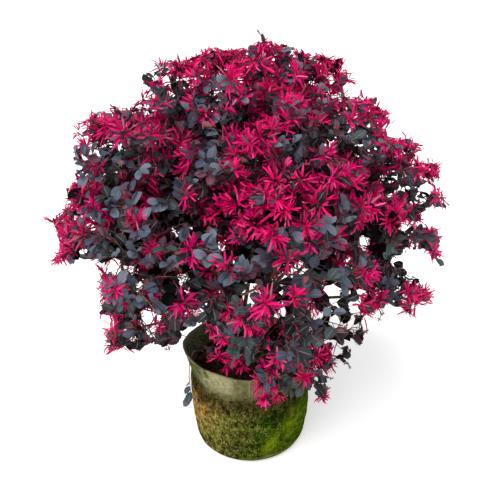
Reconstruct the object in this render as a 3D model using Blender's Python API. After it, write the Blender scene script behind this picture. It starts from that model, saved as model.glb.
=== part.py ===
"""A Chinese fringe flower shrub in bloom, standing in a felt grow bag.

Soil fills the bag, and a short leaning trunk rises from it. Main boughs leave the trunk, side boughs
leave the main ones, and each of them carries one mass of twigs, leaves and fringe flowers.
Sizes are in metres, +Z is up, -Y is the front, and the origin is the middle of the flat underside.
"""

import math
import random
from dataclasses import dataclass

import bmesh
import bpy
from mathutils import Matrix, Vector

# Two solids that meet stay this far apart
GAP = 0.0003

# The felt bag: height and radius up its outside, then its other sizes
BAG_OUTSIDE = (
    (0.000, 0.1050),
    (0.004, 0.1130),
    (0.016, 0.1175),
    (0.060, 0.1215),
    (0.105, 0.1230),
    (0.140, 0.1220),
    (0.165, 0.1185),
    (0.190, 0.1215),
    (0.215, 0.1250),
)
BAG_HEIGHT = BAG_OUTSIDE[-1][0]
FELT = 0.004
BAG_INSIDE_LEVELS = (0.215, 0.190, 0.165, 0.105, FELT)
BAG_SIDES = 32
BAG_LEAN = -0.006
RIM_WAVE = 0.003
RIM_TURN = 0.9

# The soil, level where the trunk stands on it and in gentle lumps beyond
SOIL_LEVEL = 0.165
SOIL_LUMPS = 0.0025
SOIL_RINGS = (0.80, 0.50, 0.18)
LEVEL_ROUND_TRUNK = 0.024
LUMPS_FULL_AFTER = 0.030

# The trunk stands a little behind the middle and leans to the left
TRUNK_FOOT = Vector((-0.004, 0.026, SOIL_LEVEL + GAP))
FORK = Vector((-0.016, 0.030, 0.285))
TRUNK_BEND = Vector((0.006, 0.0, 0.0))
TRUNK_RADIUS = 0.0085
FORK_RADIUS = 0.0068
TRUNK_STEPS = 6
FLARE_RING_AT = 0.35
TRUNK_SIDES = 10
FLARE = 0.55
FLARE_HEIGHT = 0.014
FLARE_LOBES = 5
FLARE_LOBE_DEPTH = 0.16

# The crown is a dome round the trunk's axis
CROWN_MIDDLE = Vector((0.0, 0.0, 0.45))
CROWN_RADII = Vector((0.36, 0.335, 0.34))
MASS_WIDTH = 1.5

# Boughs: main ones leave the upper part of the trunk, and side ones leave a main one
LIMB_RADIUS = 0.0046
SIDE_LIMB_RADIUS = 0.0032
LIMB_TIP_SHARE = 0.58
LIMB_STEP = 0.05
LIMB_BEND = 0.45
LIMB_ENDS_BELOW_MIDDLE = 0.80
FIRST_LIMB_AT = 0.52
LIMB_OUTWARD = 0.80
LIMB_UPWARD = 0.75
SIDE_LIMBS_FROM = 0.26
SIDE_LIMB_SPACING = 0.17
SIDE_LIMB_TURN = 0.55
SHARE_LIMBS_OUT = 0.06
LIMB_SIDES = 6
SIDE_LIMB_SIDES = 5

# What foliage keeps away from
CLEAR_OF_LIMBS = 0.007
CLEAR_OF_LEAVES = 0.009
CLEAR_OF_NEIGHBOUR = 0.0006
CLEAR_OF_SOIL = 0.010
CLEAR_ABOVE_RIM = 0.006
CLEAR_OUTSIDE_RIM = 0.008
CLEAR_INSIDE_RIM = 0.014

# Foliage: leaves and flowers stand for small sprays, so they are larger than life
LEAF_LENGTH = 0.064
LEAF_WIDTH = 0.62
LEAF_THICKNESS = 0.05
LEAF_WAIST = 0.46
LEAF_LIFT = 0.06
LEAF_DROOP = 0.05
LEAF_SIZES = (0.85, 1.10)
LEAVES_ALONG_TWIG = (0.05, 0.40, 0.75)
LOOSE_LEAF_SIZE = 1.08
LOOSE_LEAF_DROP = 1.45
LOOSE_LEAF_ROOT = 0.55
FLOWER_RADIUS = 0.030
FLOWER_SIZES = (1.0, 0.8, 0.6)
FLOWER_OFF_TWIG = 0.002
PETALS = 6
STEM_LEAVES_STRAIGHT = 0.006
TWIG_RADIUS = 0.0013
TWIG_TAPER = 0.35
TWIG_RISE = 0.005
TWIG_MIDDLE = 0.55
DETOUR_COST = 0.4
TIP_CANDIDATES = 90
TIP_DROP = 1.5
TIP_DEPTHS = (0.74, 0.84)
TIP_DRAWN_IN = 0.06
SHALLOWEST_TIP = 0.35
CORE_ROUGHNESS = (0.85, 1.15)
SMALLEST_CORE = 0.1
LEAN_CHOICES = (-1.7, -1.0, -0.4, 0.4, 1.0, 1.7)
GOLDEN_ANGLE = math.pi * (3 - math.sqrt(5))


@dataclass
class Tier:
    """A ring of foliage masses alike in build, seen from the trunk's fork.

    Each place is a bearing in degrees from +X towards +Y, a slope above the level, and a reach as a
    share of the dome's own.
    """

    name: str
    size: float
    twigs: int
    loose_leaves: int
    core: float
    places: tuple


@dataclass
class Mass:
    """One mass of foliage, round a middle, with the direction of its own sector from the fork."""

    name: str
    tier: Tier
    toward: Vector
    middle: Vector
    along: float
    across: float


TIERS = (
    Tier("top", 0.108, 6, 16, 0.60, ((320, 86, 1.045),)),
    Tier(
        "upper",
        0.110,
        5,
        15,
        0.64,
        ((0, 63, 1.02), (76, 58, 1.0), (146, 62, 1.04), (208, 62, 1.01), (288, 60, 1.0)),
    ),
    Tier(
        "middle",
        0.110,
        5,
        15,
        0.62,
        (
            (344, 43, 0.98),
            (28, 32, 1.0),
            (80, 28, 1.0),
            (132, 30, 1.0),
            (182, 39, 0.99),
            (234, 41, 0.98),
            (284, 39, 0.98),
        ),
    ),
    Tier(
        "lower",
        0.092,
        5,
        7,
        0.0,
        ((354, 9, 1.02), (50, 2, 1.0), (104, 0, 1.0), (152, 2, 1.0), (184, 8, 0.88)),
    ),
    Tier(
        "weeping",
        0.066,
        5,
        4,
        0.0,
        ((203, 0, 0.98), (299, -6, 0.84), (332, -6, 0.87), (224, 8, 0.86)),
    ),
    Tier("rim_spray", 0.042, 3, 2, 0.0, ((256, -10, 0.52),)),
)
MAIN_LIMBS = (
    "top_1",
    "upper_2",
    "upper_4",
    "middle_2",
    "middle_4",
    "middle_6",
    "lower_1",
    "weeping_1",
    "weeping_2",
)


# Meshes and materials


def material(name, colour, roughness):
    made = bpy.data.materials.new(name)
    made.use_nodes = True
    shader = made.node_tree.nodes["Principled BSDF"]
    shader.inputs["Base Color"].default_value = (*colour, 1.0)
    shader.inputs["Roughness"].default_value = roughness
    shader.inputs["Metallic"].default_value = 0.0
    return made


def object_from(name, vertices, faces, finish):
    """A named object whose closed mesh has its faces pointing out."""
    mesh = bpy.data.meshes.new(name)
    mesh.from_pydata([tuple(v) for v in vertices], [], faces)
    shape = bmesh.new()
    shape.from_mesh(mesh)
    bmesh.ops.recalc_face_normals(shape, faces=shape.faces)
    shape.to_mesh(mesh)
    shape.free()
    mesh.materials.append(finish)
    made = bpy.data.objects.new(name, mesh)
    bpy.context.scene.collection.objects.link(made)
    return made


def shade(made, angle=40):
    made.data.shade_smooth()
    made.data.set_sharp_from_angle(angle=math.radians(angle))
    return made


def skin(rings):
    """Vertices and faces of rings of points joined in order, with a fan or cap at each end."""
    vertices = [point for ring in rings for point in ring]
    starts = [sum(len(ring) for ring in rings[:i]) for i in range(len(rings))]
    faces = []
    for i in range(len(rings) - 1):
        low, high, count = starts[i], starts[i + 1], len(rings[i])
        for k in range(count):
            after = (k + 1) % count
            faces.append((low + k, low + after, high + after, high + k))
    faces.append(tuple(range(len(rings[0]))))
    faces.append(tuple(range(starts[-1], starts[-1] + len(rings[-1]))))
    return vertices, faces


def curve_points(start, control, end, steps):
    """Points along a quadratic curve."""
    return [
        start.lerp(control, t).lerp(control.lerp(end, t), t)
        for t in (i / steps for i in range(steps + 1))
    ]


def tube_rings(path, radii, sides, lobes=None):
    """Rings of points square to a path, carried along it without twist."""
    along = [
        (path[min(i + 1, len(path) - 1)] - path[max(i - 1, 0)]).normalized() for i in range(len(path))
    ]
    side = along[0].orthogonal().normalized()
    rings = []
    for i, (point, radius) in enumerate(zip(path, radii)):
        side = (side - along[i] * side.dot(along[i])).normalized()
        other = along[i].cross(side)
        ring = []
        for k in range(sides):
            angle = 2 * math.pi * k / sides
            wide = radius * (lobes(i, angle) if lobes else 1.0)
            ring.append(point + (side * math.cos(angle) + other * math.sin(angle)) * wide)
        rings.append(ring)
    return rings


def fused(first, others):
    """Joins first and the others by one Boolean union, and keeps the outer surface of the largest body."""
    group = bpy.data.collections.new(first.name + "_parts")
    bpy.context.scene.collection.children.link(group)
    for other in others:
        bpy.context.scene.collection.objects.unlink(other)
        group.objects.link(other)
    union = first.modifiers.new("union", "BOOLEAN")
    union.operation = "UNION"
    union.operand_type = "COLLECTION"
    union.collection = group
    apply_modifiers(first)
    for other in others:
        bpy.data.objects.remove(other)
    bpy.data.collections.remove(group)
    keep_largest_shell(first.data)
    return first


def apply_modifiers(made):
    bpy.context.view_layer.update()
    graph = bpy.context.evaluated_depsgraph_get()
    mesh = bpy.data.meshes.new_from_object(made.evaluated_get(graph))
    made.modifiers.clear()
    made.data = mesh


def signed_volume(faces):
    """The volume inside triangles and fans, from the origin."""
    total = 0.0
    for face in faces:
        first, *rest = [loop.vert.co for loop in face.loops]
        total += sum(first.dot(a.cross(b)) for a, b in zip(rest, rest[1:])) / 6
    return total


def keep_largest_shell(mesh):
    """Drops loose scraps and the inner walls of sealed hollows."""
    shape = bmesh.new()
    shape.from_mesh(mesh)
    unseen = set(shape.faces)
    shells = []
    while unseen:
        shell, edge = [], [unseen.pop()]
        while edge:
            face = edge.pop()
            shell.append(face)
            for near in (other for side in face.edges for other in side.link_faces):
                if near in unseen:
                    unseen.remove(near)
                    edge.append(near)
        shells.append(shell)
    kept = max(shells, key=signed_volume)
    spare = [face for shell in shells if shell is not kept for face in shell]
    bmesh.ops.delete(shape, geom=spare, context="FACES")
    shape.to_mesh(mesh)
    shape.free()


# The bag and its soil


def bag_radius(height):
    """The outer radius at a height, along straight lines between the stated ones."""
    for (low, near), (high, far) in zip(BAG_OUTSIDE, BAG_OUTSIDE[1:]):
        if height <= high:
            return near + (far - near) * (height - low) / (high - low)
    return BAG_OUTSIDE[-1][1]


def bag_ring(height, inset, wave=0.0):
    """A ring round the bag at a height, inset from its outside."""
    middle = BAG_LEAN * height / BAG_HEIGHT
    ring = []
    for k in range(BAG_SIDES):
        angle = 2 * math.pi * k / BAG_SIDES
        radius = bag_radius(height) - inset
        rise = wave * math.cos(2 * angle + RIM_TURN)
        ring.append(Vector((middle + radius * math.cos(angle), radius * math.sin(angle), height + rise)))
    return ring


def make_bag(finish):
    outside = [bag_ring(z, 0.0, RIM_WAVE if z == BAG_HEIGHT else 0.0) for z, _ in BAG_OUTSIDE]
    inside = [bag_ring(z, FELT, RIM_WAVE if z == BAG_HEIGHT else 0.0) for z in BAG_INSIDE_LEVELS]
    vertices, faces = skin(outside + inside)
    return shade(object_from("grow_bag", vertices, faces, finish), 50)


def soil_rise(x, y):
    """How far the soil stands above its level at a place."""
    away = math.hypot(x - TRUNK_FOOT.x, y - TRUNK_FOOT.y)
    share = min(1.0, max(0.0, (away - LEVEL_ROUND_TRUNK) / LUMPS_FULL_AFTER))
    return share * SOIL_LUMPS * (math.sin(63 * x + 1.0) * math.cos(71 * y) + 0.4 * math.sin(120 * y))


def make_soil(finish):
    levels = [z for z in reversed(BAG_INSIDE_LEVELS) if z <= SOIL_LEVEL]
    rings = [bag_ring(z, FELT + GAP) for z in levels]
    for point in rings[0]:
        point.z += GAP
    edge = rings[-1]
    for share in SOIL_RINGS:
        ring = []
        for point in edge:
            x = TRUNK_FOOT.x + (point.x - TRUNK_FOOT.x) * share
            y = TRUNK_FOOT.y + (point.y - TRUNK_FOOT.y) * share
            ring.append(Vector((x, y, SOIL_LEVEL + soil_rise(x, y))))
        rings.append(ring)
    vertices, faces = skin(rings)
    return shade(object_from("soil", vertices, faces, finish), 50)


# The trunk and the boughs


@dataclass
class Limb:
    """A tapering limb along a path, with the radius at each of its points."""

    name: str
    path: list
    radii: list
    sides: int

    def at(self, share):
        """The point, direction and radius at a share of the path."""
        where = share * (len(self.path) - 1)
        i = min(int(where), len(self.path) - 2)
        t = where - i
        along = (self.path[i + 1] - self.path[i]).normalized()
        radius = self.radii[i] + (self.radii[i + 1] - self.radii[i]) * t
        return self.path[i].lerp(self.path[i + 1], t), along, radius

    def clear_of(self, point, spare):
        """Whether a point is at least spare away from the limb's surface."""
        for a, b, radius in zip(self.path, self.path[1:], self.radii):
            line = b - a
            t = min(1.0, max(0.0, (point - a).dot(line) / line.length_squared))
            if (point - a.lerp(b, t)).length < radius + spare:
                return False
        return True


def make_trunk_limb():
    control = TRUNK_FOOT.lerp(FORK, 0.5) + TRUNK_BEND
    path = curve_points(TRUNK_FOOT, control, FORK, TRUNK_STEPS)
    path.insert(1, path[0].lerp(path[1], FLARE_RING_AT))
    radii = []
    for point in path:
        share = (point.z - TRUNK_FOOT.z) / (FORK.z - TRUNK_FOOT.z)
        plain = TRUNK_RADIUS + (FORK_RADIUS - TRUNK_RADIUS) * share
        radii.append(plain + FLARE * TRUNK_RADIUS * flare_fade(point.z))
    return Limb("trunk", path, radii, TRUNK_SIDES)


def flare_fade(height):
    """1 at the soil, where the roots spread, and less and less above it."""
    return math.exp(-(height - SOIL_LEVEL) / FLARE_HEIGHT)


def trunk_lobes(limb):
    def lobes(i, angle):
        return 1 + FLARE_LOBE_DEPTH * flare_fade(limb.path[i].z) * math.cos(FLARE_LOBES * angle)

    return lobes


def limb_object(limb, finish, spare=0.0, name=None):
    """The limb's solid. With spare it is the cutter that leaves a gap round it."""
    path, radii = list(limb.path), [r + spare for r in limb.radii]
    if spare:
        first, last = (path[0] - path[1]).normalized(), (path[-1] - path[-2]).normalized()
        path[0], path[-1] = path[0] + first * spare, path[-1] + last * spare
    lobes = trunk_lobes(limb) if limb.name == "trunk" else None
    rings = tube_rings(path, radii, limb.sides, lobes)
    if limb.name == "trunk":
        for point in rings[0]:
            point.z = path[0].z
    vertices, faces = skin(rings)
    return shade(object_from(name or limb.name, vertices, faces, finish))


def cut_clear(made, parents, finish):
    """Cuts a limb back to a small gap from the limbs that it leaves."""
    for parent in parents:
        cutter = limb_object(parent, finish, GAP, "cutter_" + parent.name)
        cut = made.modifiers.new("cut", "BOOLEAN")
        cut.operation = "DIFFERENCE"
        cut.object = cutter
        apply_modifiers(made)
        bpy.data.objects.remove(cutter)
    keep_largest_shell(made.data)


def grow_limb(name, start, leaving, end, radius, sides):
    """A limb that leaves start in one direction and bends towards end."""
    span = (end - start).length
    control = start + leaving.normalized() * span * LIMB_BEND
    steps = max(3, round(span / LIMB_STEP))
    path = curve_points(start, control, end, steps)
    radii = [radius * (1 - (1 - LIMB_TIP_SHARE) * i / steps) for i in range(steps + 1)]
    return Limb(name, path, radii, sides)


# The crown's plan


def bearing(turn, slope):
    a, e = math.radians(turn), math.radians(slope)
    return Vector((math.cos(a) * math.cos(e), math.sin(a) * math.cos(e), math.sin(e)))


def dome_reach(toward):
    """How far the dome's surface is from the fork, in a direction."""
    o = Vector((a / b for a, b in zip(FORK - CROWN_MIDDLE, CROWN_RADII)))
    d = Vector((a / b for a, b in zip(toward, CROWN_RADII)))
    b, c = o.dot(d), o.dot(o) - 1
    return (-b + math.sqrt(b * b - d.dot(d) * c)) / d.dot(d)


def plan_masses():
    masses = []
    for tier in TIERS:
        for i, (turn, slope, share) in enumerate(tier.places, 1):
            toward = bearing(turn, slope)
            middle = FORK + toward * (dome_reach(toward) * share - tier.size)
            name = f"{tier.name}_{i}"
            masses.append(Mass(name, tier, toward, middle, tier.size, tier.size * MASS_WIDTH))
    return masses


def limb_end(mass):
    return mass.middle - mass.toward * mass.along * LIMB_ENDS_BELOW_MIDDLE


def plan_limbs(masses, trunk):
    """The limbs and what each leaves. Main ones leave the trunk, the lowest first."""
    limbs, parents = {}, {}
    main = sorted((m for m in masses if m.name in MAIN_LIMBS), key=lambda m: m.toward.z)
    for rank, mass in enumerate(main):
        share = FIRST_LIMB_AT + (1 - FIRST_LIMB_AT) * rank / (len(main) - 1)
        start, along, _ = trunk.at(share)
        out = Vector((mass.toward.x, mass.toward.y, 0.0)).normalized()
        upright = rank == len(main) - 1
        leaving = along if upright else out * LIMB_OUTWARD + Vector((0, 0, LIMB_UPWARD))
        name, end = "bough_" + mass.name, limb_end(mass)
        limbs[mass.name] = grow_limb(name, start, leaving, end, LIMB_RADIUS, LIMB_SIDES)
        parents[mass.name] = [trunk]
    carried = {mass.name: 0 for mass in main}
    for mass in (m for m in masses if m.name not in limbs):
        nearest = max(main, key=lambda m: m.toward.dot(mass.toward) - SHARE_LIMBS_OUT * carried[m.name])
        carried[nearest.name] += 1
        parent = limbs[nearest.name]
        start, along, _ = parent.at(SIDE_LIMBS_FROM + SIDE_LIMB_SPACING * carried[nearest.name])
        name, end = "bough_" + mass.name, limb_end(mass)
        aside = (end - start).normalized()
        leaving = aside - along * aside.dot(along) * SIDE_LIMB_TURN
        limbs[mass.name] = grow_limb(name, start, leaving, end, SIDE_LIMB_RADIUS, SIDE_LIMB_SIDES)
        parents[mass.name] = [trunk, parent]
    return limbs, parents


# Foliage


class Space:
    """Where one mass may grow: in its own ball and sector, clear of the limbs, the bag and the soil."""

    def __init__(self, mass, masses, limbs):
        self.mass = mass
        self.taken = []
        self.others = [m.toward for m in masses if m is not mass]
        near = 2 * mass.across
        self.limbs = [limb for limb in limbs if min((p - mass.middle).length for p in limb.path) < near]

    def depth(self, point):
        """0 at the mass's middle and 1 at its outer surface."""
        offset = point - self.mass.middle
        along = offset.dot(self.mass.toward)
        across = (offset - self.mass.toward * along).length
        return ((abs(along) / self.mass.along) ** 3 + (across / self.mass.across) ** 3) ** (1 / 3)

    def surface(self, ray, share):
        """The point at a depth of share along a ray from the middle."""
        return self.mass.middle + ray * (share / self.depth(self.mass.middle + ray))

    def in_sector(self, point):
        arm = point - FORK
        return all(arm.dot(self.mass.toward - other) > CLEAR_OF_NEIGHBOUR for other in self.others)

    def clear_of_bag(self, point):
        beyond_rim = math.hypot(point.x, point.y) - bag_radius(BAG_HEIGHT)
        if beyond_rim > CLEAR_OUTSIDE_RIM:
            return point.z > CLEAR_OF_SOIL
        if beyond_rim > -CLEAR_INSIDE_RIM:
            return point.z > BAG_HEIGHT + CLEAR_ABOVE_RIM
        return point.z > SOIL_LEVEL + CLEAR_OF_SOIL

    def has_room(self, points):
        """Whether points keep off the leaves and flowers that have been placed."""
        return all((p - t).length > CLEAR_OF_LEAVES for p in points for t in self.taken)

    def holds(self, points):
        return all(
            self.depth(p) <= 1
            and self.in_sector(p)
            and self.clear_of_bag(p)
            and all(limb.clear_of(p, CLEAR_OF_LIMBS) for limb in self.limbs)
            for p in points
        )


def leaf_frame(root, along, normal):
    """A matrix whose Y runs along the leaf and whose Z is its upper side."""
    y = along.normalized()
    x = y.cross(normal).normalized()
    z = x.cross(y)
    return Matrix.Translation(root) @ Matrix((x, y, z)).transposed().to_4x4()


def leaf_points(root, along, normal, length):
    """The six corners of a leaf solid: its stalk end, its sides, its tip, and its two ribs."""
    wide, thick = length * LEAF_WIDTH / 2, length * LEAF_THICKNESS / 2
    own = (
        (0, 0, 0),
        (-wide, LEAF_WAIST * length, LEAF_LIFT * length),
        (0, length, -LEAF_DROOP * length),
        (wide, LEAF_WAIST * length, LEAF_LIFT * length),
        (0, 0.5 * length, thick),
        (0, 0.5 * length, -thick),
    )
    place = leaf_frame(root, along, normal)
    return [place @ Vector(p) for p in own]


LEAF_FACES = tuple((a, (a + 1) % 4, rib) for rib in (4, 5) for a in range(4))


def leaf_samples(points):
    """Points spread over a leaf, for the tests of what it may touch."""
    root, left, tip, right = points[:4]
    spine = [root.lerp(tip, t) for t in (0.25, 0.5, 0.75, 1.0)]
    return spine + [left, right, left.lerp(tip, 0.5), right.lerp(tip, 0.5), left.lerp(spine[1], 0.5)]


def flower_points(middle, axis, radius, spin):
    """A star of narrow petals that stands on the end of a twig."""
    side = axis.orthogonal().normalized()
    other = axis.cross(side)
    points = [middle + axis * radius * 0.16, middle - axis * radius * 0.26]
    for k in range(2 * PETALS):
        angle = spin + math.pi * k / PETALS
        reach = radius * (0.30 if k % 2 else 1.0 - 0.14 * (k % 4 == 0))
        lift = radius * (-0.02 if k % 2 else 0.34 * (-1 if k % 4 else 1.6))
        points.append(middle + (side * math.cos(angle) + other * math.sin(angle)) * reach + axis * lift)
    return points


FLOWER_FACES = tuple(
    (centre, 2 + k, 2 + (k + 1) % (2 * PETALS)) for centre in (0, 1) for k in range(2 * PETALS)
)


def spiral_rays(toward, count, drop):
    """Directions spread evenly over a ball, from the one given down through a drop of its height."""
    side = toward.orthogonal().normalized()
    other = toward.cross(side)
    rays = []
    for k in range(count):
        up = 1 - drop * (k + 0.5) / count
        flat = math.sqrt(1 - up * up)
        angle = k * GOLDEN_ANGLE
        rays.append(toward * up + (side * math.cos(angle) + other * math.sin(angle)) * flat)
    return rays


def twig_tips(mass, space, dice):
    """Places where twigs may end, round the outer side of the mass, as far out as they may go."""
    tips = []
    for ray in spiral_rays(mass.toward, TIP_CANDIDATES, TIP_DROP):
        share = dice.uniform(*TIP_DEPTHS)
        while share > SHALLOWEST_TIP and not space.holds([space.surface(ray, share)]):
            share -= TIP_DRAWN_IN
        if share > SHALLOWEST_TIP:
            tips.append(space.surface(ray, share))
    return tips


def spread(points, count, away_from):
    """Picks points that are as far apart as they can be."""
    points, picked, taken = list(points), [], [away_from]
    while points and len(picked) < count:
        best = max(points, key=lambda p: min((p - t).length for t in taken))
        points.remove(best)
        picked.append(best)
        taken.append(best)
    return picked


def twig_tree(mass, space, stem, dice):
    """Triples of points for twigs: each tip is joined to the nearest point of what has already grown."""
    tips = spread(twig_tips(mass, space, dice), mass.tier.twigs, stem[0])
    tips.sort(key=lambda p: (p - stem[0]).length)
    nodes = [(point, 0.0) for point in stem]
    twigs = []
    for tip in tips:
        parent, run = min(nodes, key=lambda n: (tip - n[0]).length + DETOUR_COST * n[1])
        middle = parent.lerp(tip, TWIG_MIDDLE) + Vector((0, 0, TWIG_RISE))
        length = (tip - parent).length
        nodes += [(middle, run + length * TWIG_MIDDLE), (tip, run + length)]
        twigs.append((parent, middle, tip))
    return twigs


def twig_object(points, finish):
    """A three-sided twig whose foot is sunk into what it leaves."""
    start = points[0] - (points[1] - points[0]).normalized() * TWIG_RADIUS
    path = [start, *points[1:]]
    radii = [TWIG_RADIUS * (1 - TWIG_TAPER * i / (len(path) - 1)) for i in range(len(path))]
    vertices, faces = skin(tube_rings(path, radii, 3))
    return object_from("twig", vertices, faces, finish)


def core_object(mass, space, dice, finish):
    """A lump inside a dense mass, drawn in where it would leave its sector."""
    shape = bmesh.new()
    bmesh.ops.create_icosphere(shape, subdivisions=1, radius=1.0)
    vertices = []
    for vertex in shape.verts:
        share = mass.tier.core * dice.uniform(*CORE_ROUGHNESS)
        while share > SMALLEST_CORE and not space.holds([space.surface(vertex.co, share)]):
            share *= 0.9
        vertices.append(space.surface(vertex.co, share))
    faces = [tuple(v.index for v in face.verts) for face in shape.faces]
    shape.free()
    return object_from("core", vertices, faces, finish)


def place_leaf(space, root, along, size, dice):
    """The leaf from a root that reaches furthest out without leaving its space, or nothing."""
    outward = (root - space.mass.middle + space.mass.toward * 0.03).normalized()
    side = along.cross(outward).normalized()
    normal = (outward + Vector((0, 0, 0.8))).normalized()
    length = size * dice.uniform(*LEAF_SIZES)
    best, furthest = None, 0.0
    for lean in LEAN_CHOICES:
        heading = (along + side * lean + outward * dice.uniform(0.0, 0.4)).normalized()
        points = leaf_points(root, heading, normal, length)
        samples = leaf_samples(points)
        depth = space.depth(points[2]) + dice.uniform(0.0, 0.12)
        if depth > furthest and space.holds(samples) and space.has_room(samples):
            best, furthest = points, depth
    if best:
        space.taken += leaf_samples(best)
    return best


def dress_twig(mass, space, twig, dice, finish):
    """A flower at the twig's tip, and the leaves along it."""
    parent, middle, tip = twig
    made = []
    along = (tip - middle).normalized()
    outward = (tip - mass.middle).normalized()
    axis = (along + outward + Vector((0, 0, 0.3))).normalized()
    for size in FLOWER_SIZES:
        middle_of_flower, spin = tip + axis * FLOWER_OFF_TWIG, dice.uniform(0, math.pi)
        points = flower_points(middle_of_flower, axis, size * FLOWER_RADIUS, spin)
        if space.holds(points) and space.has_room(points):
            made.append(object_from("flower", points, FLOWER_FACES, finish))
            space.taken += points[2:]
            break
    for share in LEAVES_ALONG_TWIG:
        points = place_leaf(space, middle.lerp(tip, share), along, LEAF_LENGTH, dice)
        if points:
            made.append(object_from("leaf", points, LEAF_FACES, finish))
    return made


def loose_leaves(mass, space, stem, dice, finish):
    """Leaves that stand out of the core, or that grow on the stem where there is no core."""
    count = mass.tier.loose_leaves
    made = []
    for k, ray in enumerate(spiral_rays(mass.toward, count, LOOSE_LEAF_DROP)):
        root = stem[-2].lerp(stem[-1], k / count)
        if mass.tier.core:
            root = space.surface(ray, LOOSE_LEAF_ROOT * mass.tier.core)
        points = place_leaf(space, root, ray, LEAF_LENGTH * LOOSE_LEAF_SIZE, dice)
        if points:
            made.append(object_from("leaf", points, LEAF_FACES, finish))
    return made


def make_mass(mass, masses, limb, limbs, finish):
    dice = random.Random("fringe " + mass.name)
    space = Space(mass, masses, limbs)
    tip, along, radius = limb.at(1.0)
    start = tip + along * GAP
    straight = start + along * STEM_LEAVES_STRAIGHT
    stem = [start, straight, start.lerp(mass.middle, 0.6) + along * 0.004, mass.middle]
    radii = [radius, radius, radius * 0.85, radius * 0.6]
    vertices, faces = skin(tube_rings(stem, radii, SIDE_LIMB_SIDES))
    body = object_from("mass_" + mass.name, vertices, faces, finish)
    parts = []
    if mass.tier.core:
        parts.append(core_object(mass, space, dice, finish))
    for twig in twig_tree(mass, space, stem[1:], dice):
        parts.append(twig_object(twig, finish))
        parts += dress_twig(mass, space, twig, dice, finish)
    parts += loose_leaves(mass, space, stem, dice, finish)
    return shade(fused(body, parts), 30)


def main():
    for old in list(bpy.data.objects):
        bpy.data.objects.remove(old)
    felt = material("weathered felt", (0.20, 0.21, 0.10), 0.95)
    earth = material("dark soil", (0.035, 0.024, 0.018), 1.0)
    bark = material("olive brown bark", (0.17, 0.13, 0.08), 0.85)
    foliage = material("plum and slate foliage with crimson fringes", (0.22, 0.03, 0.09), 0.6)
    make_bag(felt)
    make_soil(earth)
    trunk = make_trunk_limb()
    masses = plan_masses()
    limbs, parents = plan_limbs(masses, trunk)
    limb_object(trunk, bark)
    main_so_far = []
    for name, limb in limbs.items():
        near = [other for other in main_so_far if other not in parents[name]]
        cut_clear(limb_object(limb, bark), parents[name] + near, bark)
        if name in MAIN_LIMBS:
            main_so_far.append(limb)
    every = [trunk, *limbs.values()]
    for mass in masses:
        make_mass(mass, masses, limbs[mass.name], every, foliage)


main()
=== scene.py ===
"""The looks of the Chinese fringe flower shrub in its felt grow bag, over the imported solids.

The crown grows by the same rule as the solids do, carried on to finer twigs, leaves and blossoms.
Sizes are in metres, +Z is up, -Y is the front, and the origin is the middle of the flat underside.
"""

import math
import random
from dataclasses import dataclass, field

import bpy
import numpy as np
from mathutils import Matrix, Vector, noise


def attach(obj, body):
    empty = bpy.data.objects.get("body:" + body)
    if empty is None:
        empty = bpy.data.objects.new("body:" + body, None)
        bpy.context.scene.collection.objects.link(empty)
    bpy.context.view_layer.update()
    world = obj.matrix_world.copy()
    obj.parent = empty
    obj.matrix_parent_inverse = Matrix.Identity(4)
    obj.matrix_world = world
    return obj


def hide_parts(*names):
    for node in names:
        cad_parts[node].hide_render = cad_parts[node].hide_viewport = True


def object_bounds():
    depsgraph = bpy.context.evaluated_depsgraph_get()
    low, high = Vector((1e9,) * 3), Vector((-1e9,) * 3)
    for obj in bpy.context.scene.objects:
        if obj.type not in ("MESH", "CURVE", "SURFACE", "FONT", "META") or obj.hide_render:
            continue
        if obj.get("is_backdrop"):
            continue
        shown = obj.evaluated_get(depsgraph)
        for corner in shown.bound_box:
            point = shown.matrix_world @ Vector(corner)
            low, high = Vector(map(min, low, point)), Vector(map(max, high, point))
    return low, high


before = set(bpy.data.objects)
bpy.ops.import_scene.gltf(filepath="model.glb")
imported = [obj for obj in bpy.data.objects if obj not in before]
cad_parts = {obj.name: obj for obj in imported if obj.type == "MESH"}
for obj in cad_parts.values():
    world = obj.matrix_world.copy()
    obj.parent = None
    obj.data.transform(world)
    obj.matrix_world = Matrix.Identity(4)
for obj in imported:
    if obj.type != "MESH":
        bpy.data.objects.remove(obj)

UP = Vector((0.0, 0.0, 1.0))

# The photograph's view
CAMERA_AT = Vector((0.0, -0.977, 0.858))
CAMERA_DOWN = math.radians(23.92)
CAMERA_LENS = 39.985
CAMERA_SENSOR = 36.0
PICTURE_SIZE = 500
PICTURE_SCALE = PICTURE_SIZE * CAMERA_LENS / CAMERA_SENSOR

# Where the photograph shows sky round the crown, in its pixels: across, down and radius
SKY_ROUND_CROWN = (
    (52, 130, 24), (75, 85, 30), (80, 112, 11), (126, 92, 18), (146, 93, 6), (132, 56, 20), (158, 38, 20),
    (185, 30, 29), (228, 6, 46), (250, 20, 24), (285, 0, 45), (312, 38, 18), (338, 16, 42), (352, 64, 10),
    (378, 72, 25), (354, 91, 10), (366, 92, 8), (384, 103, 7), (408, 95, 28), (394, 130, 12),
    (432, 112, 33), (440, 150, 15), (421, 154, 6), (465, 180, 28), (427, 188, 6), (432, 218, 11),
    (466, 245, 26), (420, 264, 15), (455, 302, 23), (424, 313, 12), (400, 352, 39), (393, 312, 6),
    (370, 322, 9), (364, 358, 12), (380, 375, 27), (340, 370, 8), (346, 388, 18), (322, 412, 12),
    (177, 354, 9), (165, 376, 27), (152, 356, 12), (125, 398, 49), (85, 345, 22), (80, 325, 23),
    (106, 323, 9), (66, 300, 36), (86, 275, 16), (36, 242, 25), (47, 198, 21), (60, 175, 16),
    (57, 152, 16),
)

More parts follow.
